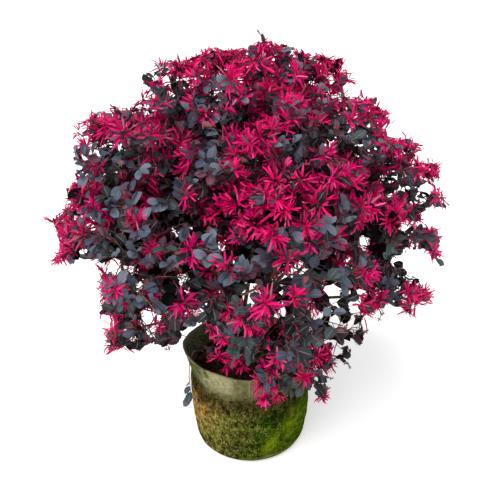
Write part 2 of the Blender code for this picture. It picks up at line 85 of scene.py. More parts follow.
# Where it shows sky through the crown
SKY_THROUGH_CROWN = (
    (113, 267, 9), (130, 270, 6), (140, 288, 5), (148, 318, 10), (152, 331, 6), (186, 334, 4),
    (194, 314, 5), (184, 276, 6), (91, 225, 5), (222, 245, 6), (197, 242, 5), (336, 94, 5), (248, 287, 6),
    (302, 268, 6), (331, 289, 9), (336, 300, 6), (355, 308, 7), (335, 322, 7), (352, 325, 7),
    (337, 351, 6), (364, 242, 6), (394, 262, 5), (404, 226, 5), (316, 314, 5),
)

# Where it shows the inside of the bag
BAG_SHOWS = ((199, 337, 12), (216, 366, 9))

# Where it shows blossom crowded or scarce: how many times as much, then across, down and radius
BLOOM_FIELDS = {
    20.0: (
        (386, 214, 18), (282, 287, 20), (260, 220, 13), (227, 54, 14), (250, 158, 13), (88, 193, 14),
        (428, 174, 15), (322, 358, 10), (79, 138, 12), (262, 184, 14), (216, 210, 12), (324, 202, 12),
        (236, 372, 12), (262, 384, 9),
    ),
    7.0: (
        (250, 162, 28), (240, 208, 32), (304, 190, 36), (345, 172, 14), (418, 299, 14), (150, 188, 16),
        (360, 278, 14), (180, 306, 14), (375, 304, 10), (333, 62, 12), (225, 355, 10), (68, 194, 14),
        (142, 207, 12), (105, 131, 12), (264, 333, 11), (102, 290, 12), (381, 123, 11), (162, 319, 12),
        (75, 248, 22),
    ),
    2.5: (
        (265, 70, 70), (153, 130, 16), (257, 108, 16), (362, 190, 24), (400, 142, 14), (96, 134, 12),
        (183, 262, 12), (119, 116, 10), (216, 307, 10),
    ),
    0.3: (
        (126, 148, 12), (226, 108, 20), (208, 142, 24), (203, 183, 12), (176, 225, 36), (129, 255, 14),
        (214, 86, 12), (243, 314, 10), (216, 248, 22), (306, 140, 12), (380, 192, 12), (329, 378, 12),
        (300, 50, 12), (188, 282, 12), (287, 160, 11), (127, 341, 12), (148, 106, 12), (268, 313, 10),
        (286, 326, 12), (222, 298, 18), (335, 262, 16), (290, 256, 22), (380, 277, 12), (105, 303, 10),
        (203, 320, 14), (236, 335, 20), (341, 355, 12),
    ),
    0.08: (
        (106, 110, 16), (336, 139, 26), (362, 150, 15), (324, 279, 18), (176, 342, 26), (240, 276, 17),
        (159, 341, 14), (80, 162, 20), (91, 255, 14), (221, 160, 18), (214, 130, 14), (290, 147, 16),
        (258, 252, 15), (307, 274, 10), (114, 162, 12), (321, 221, 16), (410, 192, 16), (390, 254, 26),
        (406, 279, 15), (337, 320, 14), (345, 302, 16), (325, 330, 26), (250, 353, 14), (276, 366, 22),
    ),
}

# Sprigs that stand out of a mass: across and down the picture, how far back, and the mass that bears it
SPRIGS = (
    (154, 77, 0.06, "upper_4"), (178, 68, 0.08, "upper_4"), (368, 131, 0.04, "upper_1"),
    (404, 152, 0.02, "middle_2"), (428, 172, 0.0, "middle_1"), (434, 202, 0.0, "middle_1"),
    (433, 243, 0.0, "lower_1"), (421, 295, 0.0, "lower_1"), (374, 301, -0.02, "lower_1"),
    (357, 342, -0.06, "weeping_3"), (318, 388, -0.17, "weeping_2"), (193, 308, -0.02, "weeping_4"),
    (118, 338, 0.0, "weeping_1"), (108, 292, 0.0, "weeping_1"), (188, 76, 0.0, "upper_4"),
    (279, 66, 0.05, "top_1"), (331, 67, 0.03, "upper_1"), (341, 284, 0.0, "lower_1"),
    (217, 306, 0.12, "lower_3"), (174, 332, -0.02, "weeping_4"),
)
SPRIG_RADIUS = 0.027

# Dry curled leaves at the ends of shoots: across and down the picture
DRY_TIPS = ((263, 44), (152, 84), (176, 68), (205, 176))
DRY_TIP_LEAVES = 3
DRY_TIP_LENGTHS = (0.014, 0.028)
DRY_TIP_WIDTH = 0.0065
DRY_TIP_CURL = 1.4
DRY_TIP_TWIST = 1.5
DRY_TIP_STRAY = 0.35

# Floor and light
FLOOR_RADIUS = 16.0
FLOOR_SIDES = 96
FLOOR_GLOW = 0.42
HORIZON_BAND = (0.10, 0.45)
ROOM_STRENGTHS = (1.06, 0.52)
ROOM_COLOUR = (0.97, 0.98, 1.0, 1.0)
SUN_STRENGTH = 2.6
SUN_BREADTH = math.radians(48)
SUN_FROM = Vector((-0.45, -0.60, 1.0))

# The felt bag: height and radius up its outside, then its other sizes
BAG_OUTSIDE = (
    (0.000, 0.1050), (0.004, 0.1130), (0.016, 0.1175),
    (0.060, 0.1215), (0.105, 0.1230), (0.140, 0.1220),
    (0.165, 0.1185), (0.190, 0.1215), (0.215, 0.1250),
)
BAG_HEIGHT, RIM_RADIUS = BAG_OUTSIDE[-1]
FELT = 0.004
BAG_LEAN = -0.006
BAG_SIDES = 288
BAG_STEP = 0.0025
BAG_FIRST_RING = 0.001
PROFILE_STEP = 0.001
PROFILE_BLUR = 0.004
FOOT_INSETS = (0.104, 0.05, 0.012, 0.004)
FOOT_ROUNDING = 0.004
FOOT_INSET = 0.0012
RIM_ROUNDING = 0.0008
RIM_RINGS = ((-RIM_ROUNDING, 0.0), (0.0, 0.0007), (0.0003, 0.002), (0.0, FELT - 0.0007))
RIM_WAVE = 0.003
RIM_TURN = 0.9
LINING_BELOW_SOIL = 0.012
SAG_FULL_RADIUS = 0.10

# Waves of the felt: size, waves round the bag, radians for each metre up, and start
BODY_WAVES = ((0.0016, 3, 0, 1.2), (0.0011, 5, 34, 0.7))
FREE_WAVES = ((0.0022, 4, 0, 0.6), (0.0013, 7, 20, 2.1))
CREASE_WAVES = ((0.0022, 2, 0, 0.4), (0.0012, 9, 0, 0.0))
BASE_SEAM_WAVES = ((0.003, 3, 0, 2.0),)

# Wrinkles: how much finer, and how deep
WRINKLES = ((1.0, 0.0016), (3.1, 0.0007))
WRINKLE_SCALE = 4.2
WRINKLE_STRETCH = 9
WRINKLES_FULL_AFTER = 0.02

# The felt's crease at the soil line, its seams, its pinch and its bulges
CREASE_HEIGHT = 0.161
CREASE_DEPTH = 0.0030
CREASE_WIDTH = 0.0042
SEAM_TURN = -90.6
SEAM_STEP = 0.0013
SEAM_AT = -0.0015
SEAM_FADE = 22.0
SEAM_FULL_AFTER = 0.03
BASE_SEAM_HEIGHT = 0.021
BASE_SEAM_DEPTH = 0.0014
BASE_SEAM_WIDTH = 0.0016
PINCH_TURN = 188.0
PINCH = 0.0075
PINCH_RISE = 0.0050
PINCH_WIDTH = 13.0
BULGES = ((-15.0, 38.0, 0.100, 0.055, 0.0046), (-95.0, 42.0, 0.008, 0.016, 0.0030))

# Heights between which the felt changes colour
COLLAR_FROM = (0.159, 0.174)
WAIST_FROM = (0.126, 0.156)
DAMP_BELOW = (0.030, -0.02)
CUT_EDGE_FROM = (0.2110, 0.2150)
SEAM_SHOWS_FROM = (0.168, 0.176)
COLLAR_DARKENS_BELOW = (0.192, 0.166)
LIP_HEIGHT = 0.011

# Bright moss on the bag: across, level and how tall
MOSS_GLOWS = ((0.082, 0.082, 0.055), (0.040, 0.046, 0.032))

# The soil, its lumps, and its clods and crumbs as how fine and how high
SOIL_LEVEL = 0.165
SOIL_LUMPS = 0.0025
LUMP_WAVES = (63, 71, 120)
FINE_LUMPS = 0.4
LEVEL_ROUND_TRUNK = 0.024
LUMPS_FULL_AFTER = 0.030
CLOD_GRAIN = (90, 0.0042)
CRUMB_GRAIN = (310, 0.0016)
SOIL_SINK = 0.0008
SOIL_RINGS = 56
INNERMOST_RING = 0.001
SOIL_GAP = 0.0003

# What lies on the soil
LITTER_MIDDLE = -0.005
LITTER_REACH = 0.100
LITTER_OFF_TRUNK = 0.018
CLODS = 520
CLOD_SIZES = (0.0010, 0.0032)
CLOD_RINGS = (-1.0, -0.45, 0.4, 1.0)
CLOD_ENDS = (0.2, 0.15)
CLOD_GIRTHS = ((0.6, 0.9), (0.55, 0.9))
CLOD_LIFT = 0.6
HEADING_LIFT = 0.2
ROOTLETS = 46
ROOTLET_STEPS = 7
ROOTLET_STEP = (0.004, 0.009)
ROOTLET_STEP_BACK = 0.005
ROOTLET_REACH = 0.104
ROOTLET_WANDER = 0.45
ROOTLET_RISE = 0.003
ROOTLET_RADII = (0.0005, 0.0010)
ROOTLET_TIP = 0.0003
FALLEN_LEAVES = 60
FALLEN_LEAF_SHAPE = ((0.015, 0.024), (0.1, 0.7), (-0.3, 0.4))
FALLEN_LEAF_RISE = 0.0015
FALLEN_LEAF_TILT = 0.3
FALLEN_PETALS = 90
FALLEN_PETAL_LENGTHS = (0.010, 0.018)
FALLEN_PETAL_WIDTH = 0.0018
FALLEN_PETAL_CURLS = (-0.8, 0.8)
FALLEN_PETAL_TWISTS = (-2, 2)
FALLEN_PETAL_RISE = 0.001
FALLEN_PETAL_TILT = 0.15
GRASS_AT = Vector((0.004, -0.012, 0.0))
GRASS_SPREAD = (0.014, 0.012)
GRASS_BLADES = 70
GRASS_LENGTHS = (0.018, 0.048)
GRASS_WIDTH = 0.0013
GRASS_CURL = 0.9
GRASS_TWIST = 0.5
GRASS_LEANS = (0.1, 0.9)
GRASS_ROOTED = 0.002

# Twigs over the rim, from the soil: three points of each, and its leaves
STRAYS = (
    (Vector((-0.050, 0.000, 0.168)), Vector((-0.130, 0.000, 0.246)), Vector((-0.182, 0.010, 0.232)), 5),
    (Vector((-0.060, -0.020, 0.168)), Vector((-0.135, -0.050, 0.300)), Vector((-0.118, -0.078, 0.136)), 4),
    (Vector((0.050, -0.040, 0.168)), Vector((0.105, -0.080, 0.250)), Vector((0.118, -0.098, 0.190)), 4),
)

STRAY_LEAF_SPREAD = 1.2
STRAY_LEAF_FACE = Vector((0.0, -0.5, 1.0))
STRAY_LEAF_TILT = 0.4
STRAY_LEAF_BEND = (0.2, 0.2)

# The trunk stands a little behind the middle and leans to the left
TRUNK_FOOT = Vector((-0.004, 0.026, SOIL_LEVEL))
FORK = Vector((-0.016, 0.030, 0.285))
TRUNK_BEND = Vector((0.006, 0.0, 0.0))
TRUNK_RADIUS = 0.0085
FORK_RADIUS = 0.0068
TRUNK_SIDES = 72
FLARE = 0.55
FLARE_HEIGHT = 0.014
FLARE_LOBES = 5
FLARE_LOBE_DEPTH = 0.16

# Bark in relief: the ridges' height, how far they run round and up, and their layers and knots
TRUNK_RIDGE = 0.00055
LIMB_RIDGE = 0.35 * TRUNK_RIDGE
BARK_ROUND = 2.6
BARK_UP = 42
BARK_LAYERS = ((1.0, 1.0), (2.7, 0.5))
BARK_KNOTS = (0.6, 0.4)

# The crown is a dome round the trunk's axis
CROWN_MIDDLE = Vector((0.0, 0.0, 0.45))
CROWN_RADII = Vector((0.36, 0.335, 0.34))
MASS_WIDTH = 1.5

# Boughs: main ones leave the upper part of the trunk, and side ones leave a main one
LIMB_RADIUS = 0.0046
SIDE_LIMB_RADIUS = 0.0032
LIMB_TIP_SHARE = 0.58
LIMB_BEND = 0.45
LIMB_ENDS_BELOW_MIDDLE = 0.80
FIRST_LIMB_AT = 0.52
LIMB_OUTWARD = 0.80
LIMB_UPWARD = 0.75
SIDE_LIMBS_FROM = 0.26
SIDE_LIMB_SPACING = 0.17
SIDE_LIMB_TURN = 0.55
SHARE_LIMBS_OUT = 0.06
LIMB_RINGS = 40
LIMB_SIDES = 14

# What foliage keeps away from
LOWEST_OUTSIDE = 0.010
LOWEST_IN_BAG = SOIL_LEVEL + 0.010
LOWEST_OVER_RIM = BAG_HEIGHT + 0.004
CLEAR_OUTSIDE_RIM = 0.006
CLEAR_INSIDE_RIM = 0.010
SECTOR_OVERLAP = 0.030
OUTWARD_FROM = 0.03

# Twigs, and the leafy shoots along them
TIP_CANDIDATES = 320
TIP_DROP = 1.6
TIP_DEPTHS = (0.66, 0.86)
INNER_TIP_DEPTHS = (0.25, 0.60)
TIP_DRAWN_IN = 0.05
SHALLOWEST_TIP = 0.22
TWIG_RADIUS = 0.0012
TWIG_TAPER = 0.5
TWIG_STEPS = 6
TWIG_BEND_AT = 0.55
TWIG_RISE = 0.006
TWIG_WANDER = 0.06
TWIG_SLACK = 6.0
LONG_WAY_ROUND = 0.4
STEM_BEND = (0.6, 0.012)
STEM_END = 1.15
SHOOT_SPACING = 0.0122
SHOOTS_FROM = 0.12
SHOOTS_OVER = 0.83
SHOOT_LENGTHS = (0.020, 0.042)
SHOOT_STEPS = 3
SHOOT_FORWARD = 0.7
SHOOT_OUTWARD = 0.55
SHOOT_UPWARD = 0.2
SHOOT_BEND_AT = 0.5
SHOOT_UNEVEN = (0.2, 0.8)
SHOOT_TRIES = 4
SHOOT_SHORTER = 0.72
SHOOT_RADIUS = 0.0007
SHOOT_DEPTH = 0.87
YOUNG_SHOOTS = 0.16
END_SHOOT = 0.1
GOLDEN_ANGLE = math.pi * (3 - math.sqrt(5))

# Leaves, alternate along each shoot. Leans are ways to set one aside and how long it then is.
FIRST_LEAF_AT = 0.22
SHORT_OF_END = 0.001
NEARLY_ALONG = 0.05
LEAF_SPACING = 0.0080
LEAF_LENGTHS = (0.0150, 0.0250)
LAST_LEAF_SIZE = 0.72
LEAF_WIDTH = 0.72
LEAF_ROWS = ((0.00, 0.06), (0.15, 0.60), (0.45, 1.00), (0.79, 0.80), (1.00, 0.14))
LEAF_DEPTH = 0.95
LEAF_LEANS = ((1.0, 1.0), (0.5, 1.0), (-0.8, 0.95), (0.1, 0.85))
LEAF_FORWARD = 0.75
LEAF_OUTWARD = 0.4
LEAF_STRAY = 0.40
LEAF_FACING = 0.7
LEAF_FOLDS = (0.05, 0.42)
LEAF_ARCHES = (0.0, 0.35)
ARCH_TOP = 0.3
RIB_WIDTH = 0.040
LEAF_GLOSS = 0.42
LEAF_ROUGHNESS = 0.46
RIB_ROUGHNESS = 0.5
DRY_ROUGHNESS = 0.7

# Painted shade and highlight on leaves: how far out the light reaches, how deep in a mass, how crowded the
# blossom over them, how low, where the right turns dark and how much more the right takes, and what leaves
# are like there
SHADE_LIGHT = 0.78
DEEP_LIGHT = 0.87
SHADE_DEPTH = 0.66
DEEP_DEPTH = 0.78
CROWDED_BLOOM = 4.0
LOW_CROWN = (0.50, 0.34)
RIGHT_SHADE_HEIGHT = 0.57
MORE_TO_THE_RIGHT = 1.6
SHADE_LEAF_SIZE = 1.4
SHADE_GLOSS = 0.05

# Blossoms: clusters of strap petals at the ends of shoots
BLOOM_SPACING = 0.025
BLOOM_CROWDING = 0.3
BLOOM_DEPTH = 0.45
BLOOM_PATCHES = 11.0
BLOOM_PATCHINESS = 1.2
BLOOM_SIZES = (0.70, 1.12)
BLOOM_UPWARD = 0.35
FLOWERS = (7, 11)
FLOWER_SPREAD = 1.15
FLOWER_STRAY = 0.45
FLOWER_STALKS = (0.001, 0.008)
FLOWER_JITTER = 0.002
CHIEF_SHARE = 0.5
PETALS = 4
PETAL_UNEVEN = 0.3
PETAL_LENGTHS = (0.014, 0.025)
PETAL_WIDTH = 0.0028
PETAL_WIDTHS = (0.8, 1.15)
PETAL_SPLAY = (0.10, 0.80)
PETAL_ROWS = (0.60, 1.0, 1.0, 0.65)
PETAL_WAVE = 0.32
PETAL_WAVE_TURN = 1.6
PETAL_CURLS = (-0.6, 1.3)
PETAL_TWIST = 0.7
PETAL_TILT = 0.4
PETAL_STRAY = 0.30
PETAL_DROOP = 0.55
PETAL_SLACK = 3.0
PETALS_BEYOND = 0.036
PETAL_ROUGHNESS = 0.42
WILTED_ROUGHNESS = 0.6
PETAL_GRAIN = (700, 0.0003)
GRASS_GRAIN = (500, 0.0003)
CALYX_GRAIN = (900, 0.0004)
CALYXES = 3
CALYX_SPREAD = 1.6
CALYX_STRAY = 0.4
CALYX_SINK = 0.001
CALYX_LENGTH = 0.0052
BUDDING = 0.30
BUDS = (3, 5)
BUD_SPREAD = 1.2
BUD_LENGTHS = (0.004, 0.008)
BUD_SHAPE = ((0.0, 0.08), (0.6, 0.22), (1.0, 0.03))


@dataclass
class Tier:
    """A ring of foliage masses alike in build, seen from the trunk's fork.

    Each place is a bearing in degrees from +X towards +Y, a slope above the level, a reach as a share
    of the dome's own, the share of its shoots that bloom, and the lowest slope that it hangs to.
    """

    name: str
    size: float
    twigs: int
    inner_twigs: int
    places: tuple


TOP_PLACES = ((320, 86, 1.045, 0.68, 40),)
UPPER_PLACES = (
    (0, 63, 1.02, 0.55, 30),
    (76, 58, 1.0, 0.50, 30),
    (146, 62, 1.04, 0.45, 30),
    (208, 62, 1.01, 0.32, 30),
    (288, 60, 1.0, 0.62, 30),
)
MIDDLE_PLACES = (
    (344, 43, 0.98, 0.52, 5),
    (28, 32, 1.0, 0.45, 5),
    (80, 28, 1.0, 0.45, 5),
    (132, 30, 1.0, 0.45, 5),
    (182, 39, 0.99, 0.34, 22),
    (234, 41, 0.98, 0.34, 5),
    (284, 39, 0.98, 0.90, 5),
)
LOWER_PLACES = (
    (354, 9, 1.02, 0.34, 2),
    (50, 2, 1.0, 0.40, -7),
    (104, 0, 1.0, 0.40, -9),
    (152, 2, 1.0, 0.40, -7),
    (184, 8, 0.88, 0.34, -8),
)
WEEPING_PLACES = (
    (203, 0, 0.98, 0.42, -12),
    (299, -6, 0.84, 0.50, -17),
    (332, -6, 0.87, 0.28, -10),
    (224, 8, 0.86, 0.34, -10),
)
RIM_SPRAY_PLACES = ((256, -10, 0.52, 0.75, -25),)
TIERS = (
    Tier("top", 0.108, 38, 18, TOP_PLACES),
    Tier("upper", 0.110, 33, 18, UPPER_PLACES),
    Tier("middle", 0.110, 31, 17, MIDDLE_PLACES),
    Tier("lower", 0.092, 20, 6, LOWER_PLACES),
    Tier("weeping", 0.066, 15, 3, WEEPING_PLACES),
    Tier("rim_spray", 0.042, 7, 0, RIM_SPRAY_PLACES),
)
MAIN_LIMBS = "top_1 upper_2 upper_4 middle_2 middle_4 middle_6 lower_1 weeping_1 weeping_2".split()


@dataclass
class Mass:
    """One mass of foliage, round a middle, with the direction of its own sector from the fork."""

    name: str
    tier: Tier
    bloom: float
    lowest: float
    toward: Vector
    middle: Vector


# Colours and finishes


def rgb(red, green, blue):
    """A linear colour with alpha, from the usual 0 to 255."""
    parts = [c / 255 for c in (red, green, blue)]
    return (*[c / 12.92 if c <= 0.04045 else ((c + 0.055) / 1.055) ** 2.4 for c in parts], 1.0)


# Leaf tints. Shade green and shade plum are painted shade: near black leaves put deep inside the crown.
# Deep green and dark plum are dark leaves that also serve as painted shade. Pale slate is paler leaves,
# partly their paler undersides and partly painted highlight. Bronze is the young leaves' own colour.
LEAF_TINTS = {
    "slate_blue": rgb(69, 77, 95),
    "pale_slate": rgb(106, 117, 134),
    "slate_green": rgb(58, 71, 70),
    "deep_green": rgb(24, 27, 29),
    "plum": rgb(104, 52, 74),
    "dark_plum": rgb(38, 13, 23),
    "bronze": rgb(140, 76, 78),
    "shade_green": rgb(7, 6, 7),
    "shade_plum": rgb(14, 4, 8),
}
# Tints that sprays take. At the left, slate and green leaves with many pale ones as painted highlight where
# the light falls; at the right, more plum, with some dark tints as painted shade. Low down, under crowded
# blossom, deep in a mass and inside it, dark tints are painted shade.
LIT_LEFT_TINTS = {"slate_blue": 7, "pale_slate": 12, "slate_green": 4, "deep_green": 1, "plum": 2}
RIGHT_TINTS = {"slate_blue": 7, "pale_slate": 6, "deep_green": 3, "plum": 5, "dark_plum": 3}
LOW_SHADE_TINTS = {"slate_blue": 5, "slate_green": 5, "deep_green": 8, "dark_plum": 5}
UNDER_BLOOM_SHADE_TINTS = {"shade_green": 2, "shade_plum": 5, "dark_plum": 4, "deep_green": 3, "slate_blue": 4}
DEEP_SHADE_TINTS = {"deep_green": 4, "dark_plum": 5, "slate_green": 1, "plum": 2}
SHADE_TINTS = {"shade_green": 3, "shade_plum": 4}
# Petal tints. Wine is painted shade: dark petals dealt out among the others for the shaded inside of a
# cluster. Pale pink is partly faded petals and partly painted highlight.
PETAL_TINTS = {
    "hot_pink": rgb(226, 4, 106),
    "crimson": rgb(190, 2, 82),
    "pale_pink": rgb(242, 82, 148),
    "magenta": rgb(214, 6, 112),
    "wine": rgb(136, 2, 60),
    "dusty_rose": rgb(182, 92, 116),
}
PETAL_SHARES = {"hot_pink": 9, "crimson": 5, "pale_pink": 2, "magenta": 3, "wine": 4, "dusty_rose": 2}
CHIEF_SHARES = {"hot_pink": 6, "crimson": 4, "magenta": 2}


class Wire:
    """What a node puts out, to be written in sums and products."""

    def __init__(self, nodes, socket):
        self.nodes = nodes
        self.socket = socket

    def maths(self, operation, other=0.0):
        return self.nodes.add("Math", {0: self, 1: other}, operation=operation)

    def __add__(self, other):
        return self.maths("ADD", other)

    def __mul__(self, other):
        return self.maths("MULTIPLY", other)

    def off(self, middle):
        """How far it is from a middle, either way."""
        return (self + -middle).maths("ABSOLUTE")

    def step(self, low, high):
        """0 below low and 1 above high, with a soft rise between. A low above high falls instead."""
        inputs = {"Value": self, "From Min": low, "From Max": high}
        return self.nodes.add("MapRange", inputs, interpolation_type="SMOOTHSTEP")

    def drawn_out(self):
        """A noise's own narrow range, drawn out to the whole of 0 to 1."""
        return self.step(0.34, 0.66)

    def between(self, first, second):
        """The first colour at 0 and the second at 1."""
        return self.nodes.add("Mix", {0: self, 6: first, 7: second}, 2, data_type="RGBA")


class Nodes:
    """The nodes of a material or a world, and short calls that add to them."""

    def __init__(self, owner):
        owner.use_nodes = True
        self.tree = owner.node_tree

    def plug(self, node, inputs):
        for key, value in inputs.items():
            if isinstance(value, Wire):
                self.tree.links.new(value.socket, node.inputs[key])
            else:
                node.inputs[key].default_value = value

    def add(self, kind, inputs, output=0, **settings):
        node = self.tree.nodes.new("ShaderNode" + kind)
        for key, value in settings.items():
            setattr(node, key, value)
        self.plug(node, inputs)
        return Wire(self, node.outputs[output])


class Finish(Nodes):
    """A material, with patterns in its own coordinates."""

    def __init__(self, name, **sockets):
        self.material = bpy.data.materials.new(name)
        super().__init__(self.material)
        self.wear(**sockets)

    def wear(self, **sockets):
        """Sets or links the shader's own sockets."""
        named = {key.replace("_", " "): value for key, value in sockets.items()}
        self.plug(self.tree.nodes["Principled BSDF"], named)
        return self.material

    def place(self, stretch=(1.0, 1.0, 1.0)):
        """The surface's own coordinates in metres, stretched."""
        own = self.add("TexCoord", {}, "Object")
        return self.add("Mapping", {"Vector": own, "Scale": stretch})

    def axis(self, name):
        return self.add("SeparateXYZ", {"Vector": self.place()}, name)

    def noise(self, scale, detail=3.0, roughness=0.55, stretch=(1.0, 1.0, 1.0), distortion=0.0):
        inputs = {"Vector": self.place(stretch), "Scale": scale, "Detail": detail}
        inputs |= {"Roughness": roughness, "Distortion": distortion}
        return self.add("TexNoise", inputs)

    def bump(self, height, distance, strength=1.0, **under):
        return self.add("Bump", {"Height": height, "Distance": distance, "Strength": strength} | under)


def coated(colour, *coats):
    """A colour with others laid over it, each by its own share."""
    for share, coat in coats:
        colour = share.between(colour, coat)
    return colour


def collar_colour(x, z, mottle, grain, patches):
    """The bag's pale collar: speckled, with a painted highlight left of the middle, darker at the right and
    low down, and mossy at both sides, the far left's dark green partly moss and partly painted shade where
    the collar turns away.
    """
    return coated(
        mottle.between(rgb(114, 110, 72), rgb(182, 176, 136)),
        # Painted highlight left of the middle, where the collar faces the light.
        (x.off(-0.056).step(0.045, 0.008) * 0.6, rgb(178, 172, 132)),
        ((x + patches * 0.012).step(-0.046, -0.008) * 0.72, rgb(82, 80, 46)),
        (grain.step(0.34, 0.10) * 0.55, rgb(52, 54, 24)),
        (patches.step(0.60, 0.95) * 0.55, rgb(86, 90, 48)),
        ((z + patches * 0.012).step(*COLLAR_DARKENS_BELOW) * 0.5, rgb(80, 78, 44)),
        # Dark green at the far left: partly moss, partly painted shade where the collar turns away.
        ((x + patches * -0.02).step(-0.085, -0.120) * 0.75, rgb(52, 68, 20)),
        ((x * 9.0 + patches).step(1.00, 1.55) * 0.9, mottle.between(rgb(18, 34, 0), rgb(92, 106, 18))),
    )


def dry_colour(x, z, mottle, patches):
    """The bag's body at the left: dry felt in patches, ochre where it is driest."""
    ochre = (x * -8.0 + z * 7.0).step(1.10, 1.60)
    return coated(
        mottle.between(rgb(14, 12, 0), rgb(150, 142, 60)),
        (patches.step(0.42, 0.10) * 0.7, rgb(20, 18, 0)),
        (patches.step(0.62, 0.94) * 0.5, rgb(168, 160, 92)),
        (ochre * (patches + 0.3), mottle.between(rgb(64, 40, 8), rgb(220, 164, 88))),
    )


def moss_colour(x, z, mottle, patches, blotches):
    """The bag's body at the right: moss, with bright glows and a dim place."""
    lush = (blotches + x * 3.0).step(0.50, 1.05)
    moss = mottle.between(rgb(2, 14, 0), rgb(58, 92, 0))
    moss = (lush * 0.6).between(moss, mottle.between(rgb(18, 46, 0), rgb(98, 126, 0)))
    for across, level, tall in MOSS_GLOWS:
        glow = x.off(across).step(0.026, 0.004) * z.off(level).step(tall, 0.2 * tall)
        moss = (glow * (patches * 0.6 + 0.15)).between(moss, rgb(122, 138, 6))
    dim = x.off(0.054).step(0.032, 0.008) * z.step(0.070, 0.105)
    return (dim * 0.9).between(moss, mottle.between(rgb(2, 10, 0), rgb(30, 56, 2)))


def felt_finish():
    """Felt outside: a pale speckled collar, a dark waist and a mossy body, with matted fibres."""
    finish = Finish("weathered_felt", Specular_IOR_Level=0.0, Sheen_Weight=0.0)
    x, y, z = finish.axis("X"), finish.axis("Y"), finish.axis("Z")
    blotches = finish.noise(24, 5, 0.62).drawn_out()
    patches = finish.noise(60, 5, 0.66).drawn_out()
    mottle = finish.noise(85, 6, 0.70, distortion=0.6).drawn_out()
    grain = finish.noise(640, 3, 0.7).drawn_out()
    fibres = finish.noise(210, 7, 0.84, (1.0, 1.0, 0.6), 1.2)
    flecks = finish.noise(110, 7, 0.82, (1.0, 1.0, 0.6), 1.0).drawn_out()
    mossy = (x * 6.0 + patches * 0.7).step(-0.10, 0.52)
    damp = (z + patches * -0.04).step(*DAMP_BELOW)
    broad = finish.noise(15, 3, 0.5).step(0.54, 0.36)
    # The waist under the collar is darker, in blotches.
    dark_waist = (z + blotches * 0.030).step(*WAIST_FROM)
    above = (z + patches * 0.014).step(*COLLAR_FROM)
    seam = x.off(SEAM_AT).step(0.0011, 0.0005) * z.step(*SEAM_SHOWS_FROM) * y.step(0.0, -0.05)
    lip = z.off(LIP_HEIGHT).step(0.009, 0.004) * x.step(0.005, 0.050)
    # Painted shadow: a dark line in the crease under the base lip.
    lip_crease_shadow = z.off(BASE_SEAM_HEIGHT).step(0.0030, 0.0008)
    rough = above * -0.60 + (x + patches * 0.03).step(0.00, 0.06) * -0.42 + 0.85
    speckled = rough * (dark_waist * (above * -1.0 + 1.0) * -0.55 + 1.0)
    colour = coated(
        dry_colour(x, z, mottle, patches),
        (mossy, moss_colour(x, z, mottle, patches, blotches)),
        (damp * 0.6, mottle.between(rgb(20, 30, 0), rgb(94, 100, 14))),
        (broad * 0.5, rgb(22, 26, 2)),
        (dark_waist * 0.92, mottle.between(rgb(5, 4, 0), rgb(76, 68, 32))),
        (above, collar_colour(x, z, mottle, grain, patches)),
        (seam * 0.55, rgb(170, 170, 134)),
        (lip * 0.5, rgb(112, 118, 66)),
        # Painted shadow in the crease under the base lip.
        (lip_crease_shadow * 0.5, rgb(12, 14, 0)),
        (z.step(*CUT_EDGE_FROM), rgb(170, 170, 132)),
        (fibres.step(0.54, 0.66) * speckled, rgb(206, 199, 130)),
        (flecks.step(0.72, 1.00) * (speckled * 0.6), rgb(178, 172, 98)),
        (fibres.step(0.46, 0.34) * rough, rgb(10, 12, 0)),
        (flecks.step(0.34, 0.06) * (rough * 0.95), rgb(12, 14, 0)),
    )
    normal = finish.bump(fibres, 0.0012, 0.9, Normal=finish.bump(mottle, 0.0018, 0.9))
    return finish.wear(Base_Color=colour, Roughness=mottle.step(-1.5, 0.6), Normal=normal)


def inner_felt_finish():
    """Felt inside, in the shade: dark green-grey, with a paler edge at the rim."""
    finish = Finish("damp_inner_felt", Specular_IOR_Level=0.12)
    mottle = finish.noise(240, 4, 0.7).drawn_out()
    colour = coated(
        mottle.between(rgb(58, 68, 52), rgb(176, 182, 146)),
        (finish.noise(50, 4, 0.6).drawn_out() * 0.5, rgb(70, 86, 48)),
        (finish.axis("Z").step(0.206, 0.215) * 0.7, rgb(140, 144, 116)),
    )
    normal = finish.bump(mottle, 0.0014, 0.8)
    return finish.wear(Base_Color=colour, Roughness=mottle.step(-1.5, 0.6), Normal=normal)


def soil_finish():
    """Damp compost: near black, with brown fibre and paler grit."""
    finish = Finish("dark_compost", Specular_IOR_Level=0.2)
    clumps = finish.noise(110, 5, 0.65)
    grit = finish.noise(520, 3, 0.7)
    colour = clumps.drawn_out().between(rgb(22, 15, 10), rgb(78, 56, 40))
    colour = grit.step(0.62, 0.72).between(colour, rgb(112, 86, 60))
    normal = finish.bump(grit, 0.0012, 0.8)
    return finish.wear(Base_Color=colour, Roughness=clumps.step(-0.8, 0.4), Normal=normal)


def bark_finish(name, dark, light, stripe):
    """Bark with long pale stripes and darker furrows."""
    finish = Finish(name, Specular_IOR_Level=0.10)
    furrows = finish.noise(160, 4, 0.6, (1.0, 1.0, 0.16), 0.4)
    stripes = finish.noise(95, 3, 0.55, (1.0, 1.0, 0.10), 0.6).step(0.52, 0.66)
    specks = finish.noise(700, 3, 0.6).step(0.60, 0.74)
    colour = coated(furrows.between(dark, light), (stripes, stripe), (specks, dark))
    normal = finish.bump(furrows, 0.0009, 0.8)
    return finish.wear(Base_Color=colour, Roughness=furrows.step(-1.2, 0.5), Normal=normal)


